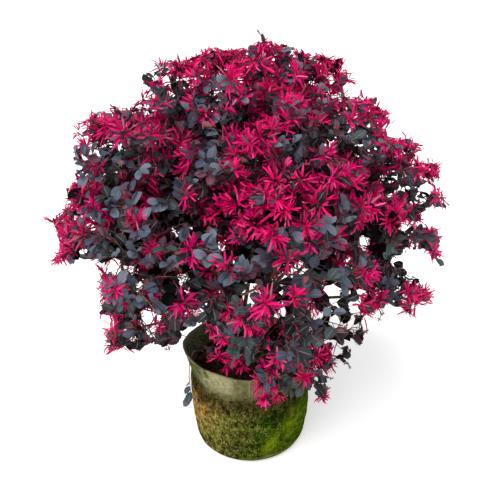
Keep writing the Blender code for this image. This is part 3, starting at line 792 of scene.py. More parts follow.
def leaf_finish(name, colour, roughness=LEAF_ROUGHNESS, gloss=LEAF_GLOSS):
    """A leaf's plain colour, with its side veins and grain as relief."""
    finish = Finish(name, Specular_IOR_Level=gloss, Base_Color=colour, Roughness=roughness)
    place = finish.add("UVMap", {}, uv_map="leaf")
    across = finish.add("SeparateXYZ", {"Vector": place}, "X")
    along = finish.add("SeparateXYZ", {"Vector": place}, "Y")
    veins = ((along + across.off(0.5) * -0.9) * 44.0).maths("SINE")
    normal = finish.bump(finish.noise(480, 2), 0.0004, 0.5, Normal=finish.bump(veins, 0.00035, 0.6))
    return finish.wear(Normal=normal)


def soft_finish(name, colour, roughness, grain):
    """A plain colour with a grain in relief, stated as how fine and how deep."""
    finish = Finish(name, Specular_IOR_Level=0.22, Base_Color=colour, Roughness=roughness)
    fine, deep = grain
    return finish.wear(Normal=finish.bump(finish.noise(fine, 2), deep, 0.7))


# Pieces of many like grids of points


def unit(vectors):
    return vectors / np.linalg.norm(vectors, axis=-1, keepdims=True)


def columns(rows):
    """Rows of values as an array for each column."""
    return [np.array(part) for part in zip(*rows)]


def grid_faces(rows, across, closed):
    """The quads of a grid of points, as places in it row by row."""
    last = across if closed else across - 1
    row, column = np.meshgrid(np.arange(rows - 1), np.arange(last), indexing="ij")
    row, column = row.ravel() * across, column.ravel()
    after = (column + 1) % across
    return np.stack([row + column, row + after, row + across + after, row + across + column], axis=1)


def build(name, finishes, grids, closed, kinds, places):
    """The mesh object of grids: copies x rows x columns x 3."""
    copies, rows, across, _ = grids.shape
    faces = grid_faces(rows, across, closed)
    starts = np.arange(copies) * rows * across
    corners = (faces[None] + starts[:, None, None]).astype(np.int32).ravel()
    mesh = bpy.data.meshes.new(name)
    mesh.vertices.add(copies * rows * across)
    mesh.vertices.foreach_set("co", grids.astype(np.float32).ravel())
    mesh.loops.add(corners.size)
    mesh.loops.foreach_set("vertex_index", corners)
    mesh.polygons.add(copies * len(faces))
    mesh.polygons.foreach_set("loop_start", np.arange(0, corners.size, 4, dtype=np.int32))
    kinds = np.tile(np.broadcast_to(kinds, len(faces)), copies)
    mesh.polygons.foreach_set("material_index", kinds.astype(np.int32))
    if places is not None:
        layer = mesh.uv_layers.new(name="leaf")
        spots = np.tile(places.reshape(-1, 2)[faces.ravel()], (copies, 1))
        layer.uv.foreach_set("vector", spots.astype(np.float32).ravel())
    mesh.update(calc_edges=True)
    mesh.shade_smooth()
    for finish in finishes:
        mesh.materials.append(finish)
    made = bpy.data.objects.new(name, mesh)
    bpy.context.scene.collection.objects.link(made)
    return made


def dress(made, slot, *nodes):
    """Puts a piece on the body, in place of CAD nodes."""
    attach(made, "root")
    if nodes:
        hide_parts(*nodes)
    return made


def piece(name, slot, nodes, finishes, grids, closed=False, kinds=0, places=None):
    """One dressed piece of like grids.

    Kinds gives each face of a grid its finish, and places gives each point its place in a leaf.
    """
    return dress(build(name, finishes, grids, closed, kinds, places), slot, *nodes)


# A direction along which no path starts, for the side of its first ring
ASKEW = np.array([0.31, 0.17, 0.93])


def tube_grids(paths, radii, sides):
    """Rings square to paths, paths x points x 3. Radii is paths x points."""
    ends = np.concatenate([paths[:, :1], paths, paths[:, -1:]], axis=1)
    along = unit(ends[:, 2:] - ends[:, :-2])
    side = unit(np.cross(along[:, 0], ASKEW))
    turn = 2 * np.pi * np.arange(sides) / sides
    rings = []
    for i in range(paths.shape[1]):
        side = unit(side - along[:, i] * np.sum(side * along[:, i], axis=1, keepdims=True))
        other = np.cross(along[:, i], side)
        ring = side[:, None] * np.cos(turn)[:, None] + other[:, None] * np.sin(turn)[:, None]
        rings.append(paths[:, i, None] + ring * radii[:, i, None, None])
    return np.stack(rings, axis=1)


def curve_points(start, control, end, steps):
    """Points along a quadratic curve."""
    shares = [i / steps for i in range(steps + 1)]
    return [start.lerp(control, t).lerp(control.lerp(end, t), t) for t in shares]


def held(value):
    """A value held between 0 and 1."""
    return min(1.0, max(0.0, value))


def bell(offset):
    """1 at no offset, and less and less on either side."""
    return math.exp(-0.5 * offset**2)


def ripples(spot, layers):
    """Noise at a spot, in layers of how fine and how high."""
    return sum(high * noise.noise(spot * fine) for fine, high in layers)


# The bag and its soil


def smooth_profile():
    """The bag's radius every millimetre up its outside, with the corners of the stated one rounded."""
    heights = np.arange(0.0, BAG_HEIGHT + PROFILE_STEP, PROFILE_STEP)
    stated = np.array(BAG_OUTSIDE)
    radii = np.interp(heights, stated[:, 0], stated[:, 1])
    reach = int(3 * PROFILE_BLUR / PROFILE_STEP)
    weights = np.exp(-0.5 * (np.arange(-reach, reach + 1) * PROFILE_STEP / PROFILE_BLUR) ** 2)
    before = 2 * radii[0] - radii[reach:0:-1]
    after = 2 * radii[-1] - radii[-2 : -reach - 2 : -1]
    return heights, np.convolve(np.concatenate([before, radii, after]), weights / weights.sum(), "valid")


PROFILE = smooth_profile()


def turned(degrees, from_degrees):
    """The signed angle between two bearings, in degrees."""
    return (degrees - from_degrees + 180) % 360 - 180


def freedom(height):
    """0 up to the crease, where the soil holds the felt, and 1 at the rim."""
    return held((height - CREASE_HEIGHT) / (BAG_HEIGHT - CREASE_HEIGHT))


def pinched(turn):
    return bell(turned(turn, PINCH_TURN) / PINCH_WIDTH)


def waves(parts, angle, height=0.0):
    return sum(size * math.sin(about * angle + up * height + start) for size, about, up, start in parts)


def bag_sag(turn, height):
    """How far the soft felt stands out of its plain profile."""
    angle = math.radians(turn)
    sag = math.sin(math.pi * min(1.0, height / CREASE_HEIGHT)) * waves(BODY_WAVES, angle, height)
    sag += freedom(height) ** 2 * waves(FREE_WAVES, angle, height)
    sag += freedom(height) * PINCH * pinched(turn)
    for middle, width, level, tall, out in BULGES:
        sag += out * bell(math.hypot(turned(turn, middle) / width, (height - level) / tall))
    crease = CREASE_HEIGHT + waves(CREASE_WAVES, angle)
    sag -= CREASE_DEPTH * bell((height - crease) / CREASE_WIDTH)
    base = BASE_SEAM_HEIGHT + waves(BASE_SEAM_WAVES, angle)
    sag -= BASE_SEAM_DEPTH * bell((height - base) / BASE_SEAM_WIDTH)
    past_seam = turned(turn, SEAM_TURN)
    if 0.0 <= past_seam < SEAM_FADE:
        sag += SEAM_STEP * (1 - past_seam / SEAM_FADE) * min(1.0, height / SEAM_FULL_AFTER)
    spot = Vector((math.cos(angle), math.sin(angle), height * WRINKLE_STRETCH)) * WRINKLE_SCALE
    return sag + ripples(spot, WRINKLES) * min(1.0, height / WRINKLES_FULL_AFTER)


def bag_ring(height, inset):
    """A ring of the bag's surface at a height, inset from its outside."""
    level = min(height, BAG_HEIGHT)
    middle = BAG_LEAN * level / BAG_HEIGHT
    plain = float(np.interp(level, *PROFILE)) - inset
    ring = []
    for k in range(BAG_SIDES):
        turn = 360 * k / BAG_SIDES
        angle = math.radians(turn)
        radius = plain + bag_sag(turn, level) * min(1.0, plain / SAG_FULL_RADIUS)
        rise = RIM_WAVE * math.cos(2 * angle + RIM_TURN) + PINCH_RISE * pinched(turn)
        x, y = middle + radius * math.cos(angle), radius * math.sin(angle)
        ring.append((x, y, height + rise * freedom(level)))
    return ring


def make_bag():
    """One lofted shell: under the bag, up its outside, over the cut edge and down to the soil."""
    rings = [bag_ring(0.0, inset) for inset in FOOT_INSETS]
    for z in np.arange(BAG_FIRST_RING, BAG_HEIGHT - BAG_FIRST_RING, BAG_STEP):
        rings.append(bag_ring(z, FOOT_INSET * max(0.0, 1 - z / FOOT_ROUNDING)))
    rings += [bag_ring(BAG_HEIGHT + rise, inset) for rise, inset in RIM_RINGS]
    outer = len(rings)
    for z in np.arange(BAG_HEIGHT - RIM_ROUNDING, SOIL_LEVEL - LINING_BELOW_SOIL, -BAG_STEP):
        rings.append(bag_ring(z, FELT))
    kinds = [int(i >= outer) for i in range(len(rings) - 1) for _ in range(BAG_SIDES)]
    finishes = (felt_finish(), inner_felt_finish())
    piece("felt_bag", "felt", ["grow_bag"], finishes, np.array([rings]), closed=True, kinds=kinds)


def soil_height(x, y):
    """The soil's level at a place: the source's gentle lumps, with clods and crumbs on them."""
    away = math.hypot(x - TRUNK_FOOT.x, y - TRUNK_FOOT.y)
    across, back, fine = LUMP_WAVES
    lumps = math.sin(across * x + 1.0) * math.cos(back * y) + FINE_LUMPS * math.sin(fine * y)
    lumps *= SOIL_LUMPS * held((away - LEVEL_ROUND_TRUNK) / LUMPS_FULL_AFTER)
    clods = CLOD_GRAIN[1] * abs(noise.noise(Vector((x, y, 0.0)) * CLOD_GRAIN[0]))
    return SOIL_LEVEL - SOIL_SINK + lumps + clods + ripples(Vector((x, y, 0.3)), (CRUMB_GRAIN,))


def make_soil():
    """The compost's surface, in rings that shrink from the felt to the trunk."""
    edge = bag_ring(SOIL_LEVEL, FELT + SOIL_GAP)
    rings = []
    for i in range(SOIL_RINGS):
        share = max(INNERMOST_RING, i / (SOIL_RINGS - 1))
        ring = []
        for x, y, _ in edge:
            x = TRUNK_FOOT.x + (x - TRUNK_FOOT.x) * share
            y = TRUNK_FOOT.y + (y - TRUNK_FOOT.y) * share
            ring.append((x, y, soil_height(x, y)))
        rings.append(ring[::-1])
    piece("compost", "soil", ["soil"], [soil_finish()], np.array([rings]), closed=True)


def soil_spot(dice):
    """A place on the soil, clear of the trunk and the felt."""
    while True:
        turn, out = dice.uniform(0, 2 * math.pi), LITTER_REACH * math.sqrt(dice.random())
        x, y = LITTER_MIDDLE + out * math.cos(turn), out * math.sin(turn)
        if math.hypot(x - TRUNK_FOOT.x, y - TRUNK_FOOT.y) > LITTER_OFF_TRUNK:
            return Vector((x, y, soil_height(x, y)))


def level_heading(dice, lift=HEADING_LIFT):
    turn = dice.uniform(0, 2 * math.pi)
    return Vector((math.cos(turn), math.sin(turn), dice.uniform(-lift, lift))).normalized()


def any_way(dice):
    return Vector((dice.gauss(0, 1), dice.gauss(0, 1), dice.gauss(0, 1)))


def any_direction(dice):
    return any_way(dice).normalized()


def clod_grids(dice):
    """Loose crumbs of compost: short fat tubes with small ends."""
    paths, radii = [], []
    for _ in range(CLODS):
        spot, heading = soil_spot(dice), level_heading(dice, CLOD_LIFT)
        size = dice.uniform(*CLOD_SIZES)
        paths.append([spot + heading * size * t for t in CLOD_RINGS])
        girths = [dice.uniform(*girth) for girth in CLOD_GIRTHS]
        radii.append(size * np.array([CLOD_ENDS[0], *girths, CLOD_ENDS[1]]))
    return tube_grids(np.array(paths), np.array(radii), 5)


def rootlet_grids(dice):
    """Thin roots that wander over the soil, and turn back before the felt."""
    paths, radii = [], []
    for _ in range(ROOTLETS):
        start, heading = soil_spot(dice), level_heading(dice)
        path = [start]
        for _ in range(ROOTLET_STEPS):
            heading = (heading + level_heading(dice) * ROOTLET_WANDER).normalized()
            step = path[-1] + heading * dice.uniform(*ROOTLET_STEP)
            if math.hypot(step.x, step.y) > ROOTLET_REACH:
                heading.negate()
                step = path[-1] + heading * ROOTLET_STEP_BACK
            level = soil_height(step.x, step.y) + dice.uniform(0.0, ROOTLET_RISE)
            path.append(Vector((step.x, step.y, level)))
        paths.append(path)
        radii.append(np.linspace(dice.uniform(*ROOTLET_RADII), ROOTLET_TIP, ROOTLET_STEPS + 1))
    return tube_grids(np.array(paths), np.array(radii), 4)


def flat_leaf(dice):
    """A fallen leaf: root, heading, normal, length, fold and arch."""
    spot = soil_spot(dice) + UP * FALLEN_LEAF_RISE
    heading = level_heading(dice, FALLEN_LEAF_TILT)
    normal = Vector((dice.gauss(0, FALLEN_LEAF_TILT), dice.gauss(0, FALLEN_LEAF_TILT), 1.0))
    return spot, heading, normal, *[dice.uniform(*part) for part in FALLEN_LEAF_SHAPE]


def flat_petal(dice):
    """A fallen petal: root, heading, side, length, width, curl, twist and wave."""
    spot = soil_spot(dice) + UP * FALLEN_PETAL_RISE
    heading = level_heading(dice, FALLEN_PETAL_TILT)
    side = heading.cross(UP).normalized()
    bend = (dice.uniform(*FALLEN_PETAL_CURLS), dice.uniform(*FALLEN_PETAL_TWISTS), 0.0)
    return spot, heading, side, dice.uniform(*FALLEN_PETAL_LENGTHS), FALLEN_PETAL_WIDTH, *bend


def grass_rows():
    """A thin tuft of yellowing grass on the soil, each blade as a petal is."""
    dice = random.Random("grass")
    rows = []
    for _ in range(GRASS_BLADES):
        x, y = (middle + dice.gauss(0, reach) for middle, reach in zip(GRASS_AT.xy, GRASS_SPREAD))
        heading = (UP + level_heading(dice) * dice.uniform(*GRASS_LEANS)).normalized()
        side = heading.cross(level_heading(dice)).normalized()
        root = Vector((x, y, soil_height(x, y) - GRASS_ROOTED))
        length, twist = dice.uniform(*GRASS_LENGTHS), dice.gauss(0, GRASS_TWIST)
        rows.append((root, heading, side, length, GRASS_WIDTH, GRASS_CURL, twist, 0.0))
    return rows


def make_litter():
    """Clods, rootlets, fallen leaves, fallen petals and a tuft of grass on the soil."""
    dice = random.Random("litter")
    piece("soil_clods", "soil", [], [soil_finish()], clod_grids(dice), closed=True)
    brown = bark_finish("dry_rootlets", rgb(70, 52, 36), rgb(132, 106, 78), rgb(150, 128, 96))
    piece("rootlets", "bark", [], [brown], rootlet_grids(dice), closed=True)
    grids = leaf_grids(*columns(flat_leaf(dice) for _ in range(FALLEN_LEAVES)))
    dry = leaf_finish("dry_leaf", rgb(96, 62, 40), DRY_ROUGHNESS)
    rib = leaf_finish("dry_rib", rgb(128, 92, 62), DRY_ROUGHNESS)
    piece("fallen_leaves", "foliage", [], [dry, rib], grids, kinds=LEAF_KINDS, places=LEAF_PLACES)
    grids = petal_grids(*columns(flat_petal(dice) for _ in range(FALLEN_PETALS)))
    dull = soft_finish("wilted_petal", rgb(150, 40, 72), WILTED_ROUGHNESS, PETAL_GRAIN)
    piece("fallen_petals", "blossom", [], [dull], grids)
    yellow = soft_finish("yellowing_grass", rgb(124, 122, 58), WILTED_ROUGHNESS, GRASS_GRAIN)
    piece("grass_tuft", "foliage", [], [yellow], petal_grids(*columns(grass_rows())))


# The trunk and the boughs


@dataclass
class Limb:
    """A tapering limb along a path, with the radius at each of its points."""

    name: str
    path: list
    radii: list

    def at(self, share):
        """The point, direction and radius at a share of the path."""
        where = share * (len(self.path) - 1)
        i = min(int(where), len(self.path) - 2)
        t = where - i
        along = (self.path[i + 1] - self.path[i]).normalized()
        radius = self.radii[i] + (self.radii[i + 1] - self.radii[i]) * t
        return self.path[i].lerp(self.path[i + 1], t), along, radius


def flare_fade(height):
    """1 at the soil, where the roots spread, and less and less above it."""
    return math.exp(-(height - SOIL_LEVEL) / FLARE_HEIGHT)


def make_trunk_limb():
    path = curve_points(TRUNK_FOOT, TRUNK_FOOT.lerp(FORK, 0.5) + TRUNK_BEND, FORK, LIMB_RINGS * 2)
    radii = []
    for point in path:
        share = (point.z - TRUNK_FOOT.z) / (FORK.z - TRUNK_FOOT.z)
        plain = TRUNK_RADIUS + (FORK_RADIUS - TRUNK_RADIUS) * share
        radii.append(plain + FLARE * TRUNK_RADIUS * flare_fade(point.z))
    return Limb("trunk", path, radii)


def grow_limb(name, start, leaving, end, radius):
    """A limb that leaves start in one direction and bends towards end."""
    control = start + leaving.normalized() * (end - start).length * LIMB_BEND
    path = curve_points(start, control, end, LIMB_RINGS)
    radii = [radius * (1 - (1 - LIMB_TIP_SHARE) * i / LIMB_RINGS) for i in range(LIMB_RINGS + 1)]
    return Limb(name, path, radii)


def bark_grid(limb, sides, ridge, lobes=0.0):
    """A limb's rings, pushed in and out along their radii in long ridges with knots between."""
    grid = tube_grids(np.array([limb.path]), np.array([limb.radii]), sides)[0]
    for i, centre in enumerate(limb.path):
        for k in range(sides):
            point = Vector(grid[i, k])
            out = (point - centre).normalized()
            spot = Vector((out.x * BARK_ROUND, out.y * BARK_ROUND, point.z * BARK_UP + out.z))
            knot = BARK_KNOTS[1] * abs(noise.noise(spot * BARK_KNOTS[0]))
            rise = ridge * (ripples(spot, BARK_LAYERS) + knot)
            lobe = lobes * limb.radii[i] * math.cos(FLARE_LOBES * 2 * math.pi * k / sides)
            grid[i, k] = point + out * (rise + lobe * flare_fade(point.z))
    return grid


def make_limbs(trunk, limbs):
    """The trunk and all boughs, as two pieces."""
    old_bark = bark_finish("trunk_bark", rgb(70, 62, 34), rgb(126, 114, 70), rgb(164, 154, 112))
    grid = bark_grid(trunk, TRUNK_SIDES, TRUNK_RIDGE, FLARE_LOBE_DEPTH)
    piece("trunk_with_bark", "bark", ["trunk"], [old_bark], grid[None], closed=True)
    bark = bark_finish("bough_bark", rgb(78, 60, 44), rgb(134, 112, 88), rgb(160, 142, 116))
    grids = np.array([bark_grid(limb, LIMB_SIDES, LIMB_RIDGE) for limb in limbs.values()])
    names = [limb.name for limb in limbs.values()]
    piece("boughs_with_bark", "bark", names, [bark], grids, closed=True)


# The crown's plan, as in the solids' source


def bearing(turn, slope):
    a, e = math.radians(turn), math.radians(slope)
    return Vector((math.cos(a) * math.cos(e), math.sin(a) * math.cos(e), math.sin(e)))


def dome_reach(toward):
    """How far the dome's surface is from the fork, in a direction."""
    o = Vector((a / b for a, b in zip(FORK - CROWN_MIDDLE, CROWN_RADII)))
    d = Vector((a / b for a, b in zip(toward, CROWN_RADII)))
    b, c = o.dot(d), o.dot(o) - 1
    return (-b + math.sqrt(b * b - d.dot(d) * c)) / d.dot(d)


def plan_masses():
    masses = []
    for tier in TIERS:
        for i, (turn, slope, share, bloom, lowest) in enumerate(tier.places, 1):
            toward = bearing(turn, slope)
            middle = FORK + toward * (dome_reach(toward) * share - tier.size)
            sink = math.tan(math.radians(lowest))
            masses.append(Mass(f"{tier.name}_{i}", tier, bloom, sink, toward, middle))
    return masses


def limb_end(mass):
    return mass.middle - mass.toward * mass.tier.size * LIMB_ENDS_BELOW_MIDDLE


def plan_limbs(masses, trunk):
    """The limbs. Main ones leave the trunk, the lowest first, and side ones leave a main one."""
    limbs = {}
    main = sorted((m for m in masses if m.name in MAIN_LIMBS), key=lambda m: m.toward.z)
    for rank, mass in enumerate(main):
        share = FIRST_LIMB_AT + (1 - FIRST_LIMB_AT) * rank / (len(main) - 1)
        start, along, _ = trunk.at(share)
        out = Vector((mass.toward.x, mass.toward.y, 0.0)).normalized()
        upright = rank == len(main) - 1
        leaving = along if upright else out * LIMB_OUTWARD + UP * LIMB_UPWARD
        limbs[mass.name] = grow_limb("bough_" + mass.name, start, leaving, limb_end(mass), LIMB_RADIUS)
    carried = {mass.name: 0 for mass in main}
    for mass in (m for m in masses if m.name not in limbs):
        nearest = max(main, key=lambda m: m.toward.dot(mass.toward) - SHARE_LIMBS_OUT * carried[m.name])
        carried[nearest.name] += 1
        parent = limbs[nearest.name]
        start, along, _ = parent.at(SIDE_LIMBS_FROM + SIDE_LIMB_SPACING * carried[nearest.name])
        aside = (limb_end(mass) - start).normalized()
        leaving = aside - along * aside.dot(along) * SIDE_LIMB_TURN
        limbs[mass.name] = grow_limb("bough_" + mass.name, start, leaving, limb_end(mass), SIDE_LIMB_RADIUS)
    return limbs


# Growth inside a mass

SKY = np.array(SKY_ROUND_CROWN + SKY_THROUGH_CROWN + BAG_SHOWS, dtype=float)
FIELDS = np.array([(*disc, times) for times, discs in BLOOM_FIELDS.items() for disc in discs])


def picture_places(points):
    """Where the camera sees points, across and down the picture in pixels."""
    arm = np.asarray(points) - np.array(CAMERA_AT)
    down, level = math.sin(CAMERA_DOWN), math.cos(CAMERA_DOWN)
    depth = arm[..., 1] * level - arm[..., 2] * down
    up = arm[..., 1] * down + arm[..., 2] * level
    return np.stack([arm[..., 0], -up], axis=-1) * (PICTURE_SCALE / depth)[..., None] + PICTURE_SIZE / 2


def behind_picture(across, down, back):
    """The point that is seen at a place in the picture and is so far back from the middle."""
    rise = (PICTURE_SIZE / 2 - down) / PICTURE_SCALE
    low, level = math.sin(CAMERA_DOWN), math.cos(CAMERA_DOWN)
    away = back - CAMERA_AT.y
    climb = away * (rise * level - low) / (level + rise * low)
    depth = away * level - climb * low
    return Vector((depth * (across - PICTURE_SIZE / 2) / PICTURE_SCALE, back, CAMERA_AT.z + climb))


def in_open_sky(points, slack=0.0):
    """Whether points are seen where the photograph shows sky, past a slack in pixels."""
    away = np.linalg.norm(picture_places(points)[..., None, :] - SKY[:, :2], axis=-1)
    return (away < SKY[:, 2] - slack).any(axis=-1)


def bloom_field(point):
    """How many times as much blossom there is round a point as the mass bears on the whole."""
    away = np.linalg.norm(picture_places(point) - FIELDS[:, :2], axis=-1) / FIELDS[:, 2]
    return float(np.prod(FIELDS[:, 3] ** np.exp(-away * away)))


class Space:
    """Where one mass may grow: in its own ball and sector, clear of the bag and the soil."""

    def __init__(self, mass, masses):
        self.mass = mass
        self.middle = np.array(mass.middle)
        self.toward = np.array(mass.toward)
        self.long = mass.tier.size
        self.wide = mass.tier.size * MASS_WIDTH
        self.edges = np.array([mass.toward - other.toward for other in masses if other is not mass])
        self.sprigs = [behind_picture(*place) for *place, bearer in SPRIGS if bearer == mass.name]
        self.share = ((mass.middle - FORK).length + self.long) / dome_reach(mass.toward)

    def light(self, point):
        """How far out a point is on the way from the fork to the crown's surface, about 1 in full light."""
        arm = point - FORK
        return arm.length / (dome_reach(arm.normalized()) * self.share)

    def outward(self, point):
        """Away from a place a little below the mass's middle."""
        return (point - self.mass.middle + self.mass.toward * OUTWARD_FROM).normalized()

    def depth(self, points):
        """0 at the mass's middle and 1 at its outer surface."""
        offset = np.asarray(points) - self.middle
        along = offset @ self.toward
        across = np.linalg.norm(offset - along[..., None] * self.toward, axis=-1)
        return ((np.abs(along) / self.long) ** 3 + (across / self.wide) ** 3) ** (1 / 3)

    def surface(self, ray, share):
        """The point at a depth of share along a ray from the middle."""
        return self.mass.middle + ray * (share / float(self.depth(self.mass.middle + ray)))

    def holds(self, points, deepest=1.0):
        """Whether points may carry foliage, no further out than a depth."""
        points = np.asarray(points)
        arm = points - np.array(FORK)
        inside = (arm @ self.edges.T > -SECTOR_OVERLAP).all(axis=-1)
        inside &= arm[..., 2] > self.mass.lowest * np.hypot(arm[..., 0], arm[..., 1])
        inside &= self.depth(points) <= deepest
        for sprig in self.sprigs:
            inside |= np.linalg.norm(points - np.array(sprig), axis=-1) < SPRIG_RADIUS
        past_rim = np.hypot(points[..., 0], points[..., 1]) - RIM_RADIUS
        lowest = np.where(past_rim > -CLEAR_INSIDE_RIM, LOWEST_OVER_RIM, LOWEST_IN_BAG)
        lowest = np.where(past_rim > CLEAR_OUTSIDE_RIM, LOWEST_OUTSIDE, lowest)
        return inside & (points[..., 2] > lowest) & ~in_open_sky(points)


@dataclass
class Crown:
    """All that grows, before it becomes meshes."""

    twigs: list = field(default_factory=list)
    shoots: list = field(default_factory=list)
    leaves: dict = field(default_factory=dict)
    petals: dict = field(default_factory=dict)
    buds: list = field(default_factory=list)
    blooms: list = field(default_factory=list)


def spiral_rays(toward, count, drop):
    """Directions spread evenly over a ball, from the one given down through a drop of its height."""
    side = toward.orthogonal().normalized()
    other = toward.cross(side)
    rays = []
    for k in range(count):
        up = 1 - drop * (k + 0.5) / count
        angle = k * GOLDEN_ANGLE
        flat = side * math.cos(angle) + other * math.sin(angle)
        rays.append(toward * up + flat * math.sqrt(1 - up * up))
    return rays


def twig_tips(mass, space, depths, dice):
    """Places where twigs may end, round the outer side of the mass, as far out as they may go."""
    tips = []
    for ray in spiral_rays(mass.toward, TIP_CANDIDATES, TIP_DROP):
        share = dice.uniform(*depths)
        while share > SHALLOWEST_TIP and not space.holds(space.surface(ray, share)):
            share -= TIP_DRAWN_IN
        if share > SHALLOWEST_TIP:
            tips.append(space.surface(ray, share))
    return tips


def farthest_apart(points, count, away_from):
    """Picks points that are as far apart as they can be."""
    points = np.array(points)
    gaps = np.linalg.norm(points - np.array(away_from), axis=1)
    picked = []
    for _ in range(min(count, len(points))):
        best = int(gaps.argmax())
        picked.append(Vector(points[best]))
        gaps = np.minimum(gaps, np.linalg.norm(points - points[best], axis=1))
    return picked


def twig_tree(mass, space, stem, dice):
    """Curved twigs: each tip is joined to the nearest point of what has already grown."""
    tips = []
    for depths, count in ((TIP_DEPTHS, mass.tier.twigs), (INNER_TIP_DEPTHS, mass.tier.inner_twigs)):
        tips += farthest_apart(twig_tips(mass, space, depths, dice), count, stem[0])
    tips += space.sprigs
    tips.sort(key=lambda p: (p - stem[0]).length)
    nodes = [(point, 0.0) for point in stem]
    twigs = []
    for tip in tips:
        parent, run = min(nodes, key=lambda n: (tip - n[0]).length + LONG_WAY_ROUND * n[1])
        length = (tip - parent).length
        middle = parent.lerp(tip, TWIG_BEND_AT) + UP * TWIG_RISE + any_way(dice) * length * TWIG_WANDER
        path = curve_points(parent, middle, tip, TWIG_STEPS)
        if tip in space.sprigs or not in_open_sky(path, TWIG_SLACK).any():
            nodes += [(path[TWIG_STEPS // 2], run + length / 2), (tip, run + length)]
            twigs.append(path)
    return twigs


def path_length(path):
    return sum((b - a).length for a, b in zip(path, path[1:]))


def path_at(path, where):
    """The point and direction so many steps along a path."""
    i = min(int(where), len(path) - 2)
    return path[i].lerp(path[i + 1], where - i), (path[i + 1] - path[i]).normalized()


def side_shoots(space, path, dice):
    """Shorter shoots that leave a twig all round it, in a spiral, and bend towards the light."""
    count = max(1, round(path_length(path) / SHOOT_SPACING))
    shoots = []
    start_turn = dice.uniform(0, 2 * math.pi)
    for k in range(count):
        share = SHOOTS_FROM + SHOOTS_OVER * (k + dice.uniform(*SHOOT_UNEVEN)) / count
        root, along = path_at(path, share * (len(path) - 1))
        side = along.orthogonal().normalized()
        turn = start_turn + k * GOLDEN_ANGLE
        side = side * math.cos(turn) + along.cross(side) * math.sin(turn)
        leaving = (along * SHOOT_FORWARD + side).normalized()
        bent = (leaving + space.outward(root) * SHOOT_OUTWARD + UP * SHOOT_UPWARD).normalized()
        reach = dice.uniform(*SHOOT_LENGTHS)
        for _ in range(SHOOT_TRIES):
            end = root + bent * reach
            if space.holds(end, SHOOT_DEPTH):
                control = root + leaving * reach * SHOOT_BEND_AT
                shoots.append(curve_points(root, control, end, SHOOT_STEPS))
                break
            reach *= SHOOT_SHORTER
    return shoots


def pick(dice, shares):
    return dice.choices(list(shares), weights=list(shares.values()))[0]


def spray_tint(space, point, dice):
    """A spray's leaf tint: painted shade inside, low down, low at the right and under blossom, pale painted
    highlight at the left, and more plum at the right.
    """
    light, depth = space.light(point), float(space.depth(point))
    # Painted shade by depth, under crowded blossom and low down; then pale painted highlight at the left
    # and more plum at the right.
    if light < SHADE_LIGHT and depth < SHADE_DEPTH:
        return pick(dice, SHADE_TINTS)
    if light < DEEP_LIGHT and depth < DEEP_DEPTH:
        return pick(dice, DEEP_SHADE_TINTS)
    if bloom_field(point) > CROWDED_BLOOM:
        return pick(dice, UNDER_BLOOM_SHADE_TINTS)
    if dice.random() < (LOW_CROWN[0] - point.z) / (LOW_CROWN[0] - LOW_CROWN[1]):
        return pick(dice, LOW_SHADE_TINTS)
    if dice.random() >= 0.5 + MORE_TO_THE_RIGHT * point.x:
        return pick(dice, LIT_LEFT_TINTS)
    return pick(dice, LOW_SHADE_TINTS if point.z < RIGHT_SHADE_HEIGHT else RIGHT_TINTS)


def leaf_choices(space, root, along, hand, size, dice):
    """Ways to set one leaf, the best liked first: root, heading, normal, length, fold, arch."""
    outward = space.outward(root)
    normal = (outward * LEAF_FACING + UP * LEAF_FACING + any_direction(dice) * LEAF_FACING).normalized()
    side = along.cross(normal)
    side = side.normalized() if side.length > NEARLY_ALONG else along.orthogonal().normalized()
    fold, arch = dice.uniform(*LEAF_FOLDS), dice.uniform(*LEAF_ARCHES)
    astray = any_direction(dice) * LEAF_STRAY
    ways = []
    for lean, length in LEAF_LEANS:
        heading = along * LEAF_FORWARD + side * hand * lean + outward * dice.uniform(0.0, LEAF_OUTWARD)
        ways.append((root, (heading + astray).normalized(), normal, size * length, fold, arch))
    return ways


def leaf_fits(space, ways):
    """For each way to set each leaf, whether its tip and sides stay in the mass."""
    roots, headings, normals, lengths = ways[0], ways[1], ways[2], ways[3][..., None]
    sides = unit(np.cross(headings, normals)) * lengths * LEAF_WIDTH / 2
    waist = roots + headings * lengths * 0.5
    edges = (roots + headings * lengths, waist + sides, waist - sides)
    return np.all([space.holds(edge, LEAF_DEPTH) for edge in edges], axis=0)


def grow_leaves(space, shoots, crown, dice):
    """Leaves along shoots, each set in the first way that stays in the mass."""
    tints, choices = [], []
    for path, young in shoots:
        count = max(2, round(path_length(path) / LEAF_SPACING))
        steps = len(path) - 1
        tint = spray_tint(space, path[-1], dice)
        scale = SHADE_LEAF_SIZE if tint in SHADE_TINTS else 1.0
        for k in range(count):
            share = FIRST_LEAF_AT + (1 - FIRST_LEAF_AT) * (k + 1) / count
            root, along = path_at(path, min(share * steps, steps - SHORT_OF_END))
            size = dice.uniform(*LEAF_LENGTHS) * (LAST_LEAF_SIZE if k == count - 1 else 1.0) * scale
            choices.append(leaf_choices(space, root, along, 1 if k % 2 else -1, size, dice))
            tints.append("bronze" if young and k == count - 1 and scale == 1.0 else tint)
    if not choices:
        return
    ways = columns(zip(*choice) for choice in choices)
    fits = leaf_fits(space, ways)
    first = fits.argmax(axis=1)
    for i in np.flatnonzero(fits.any(axis=1)):
        crown.leaves.setdefault(tints[i], []).append([part[i, first[i]] for part in ways])


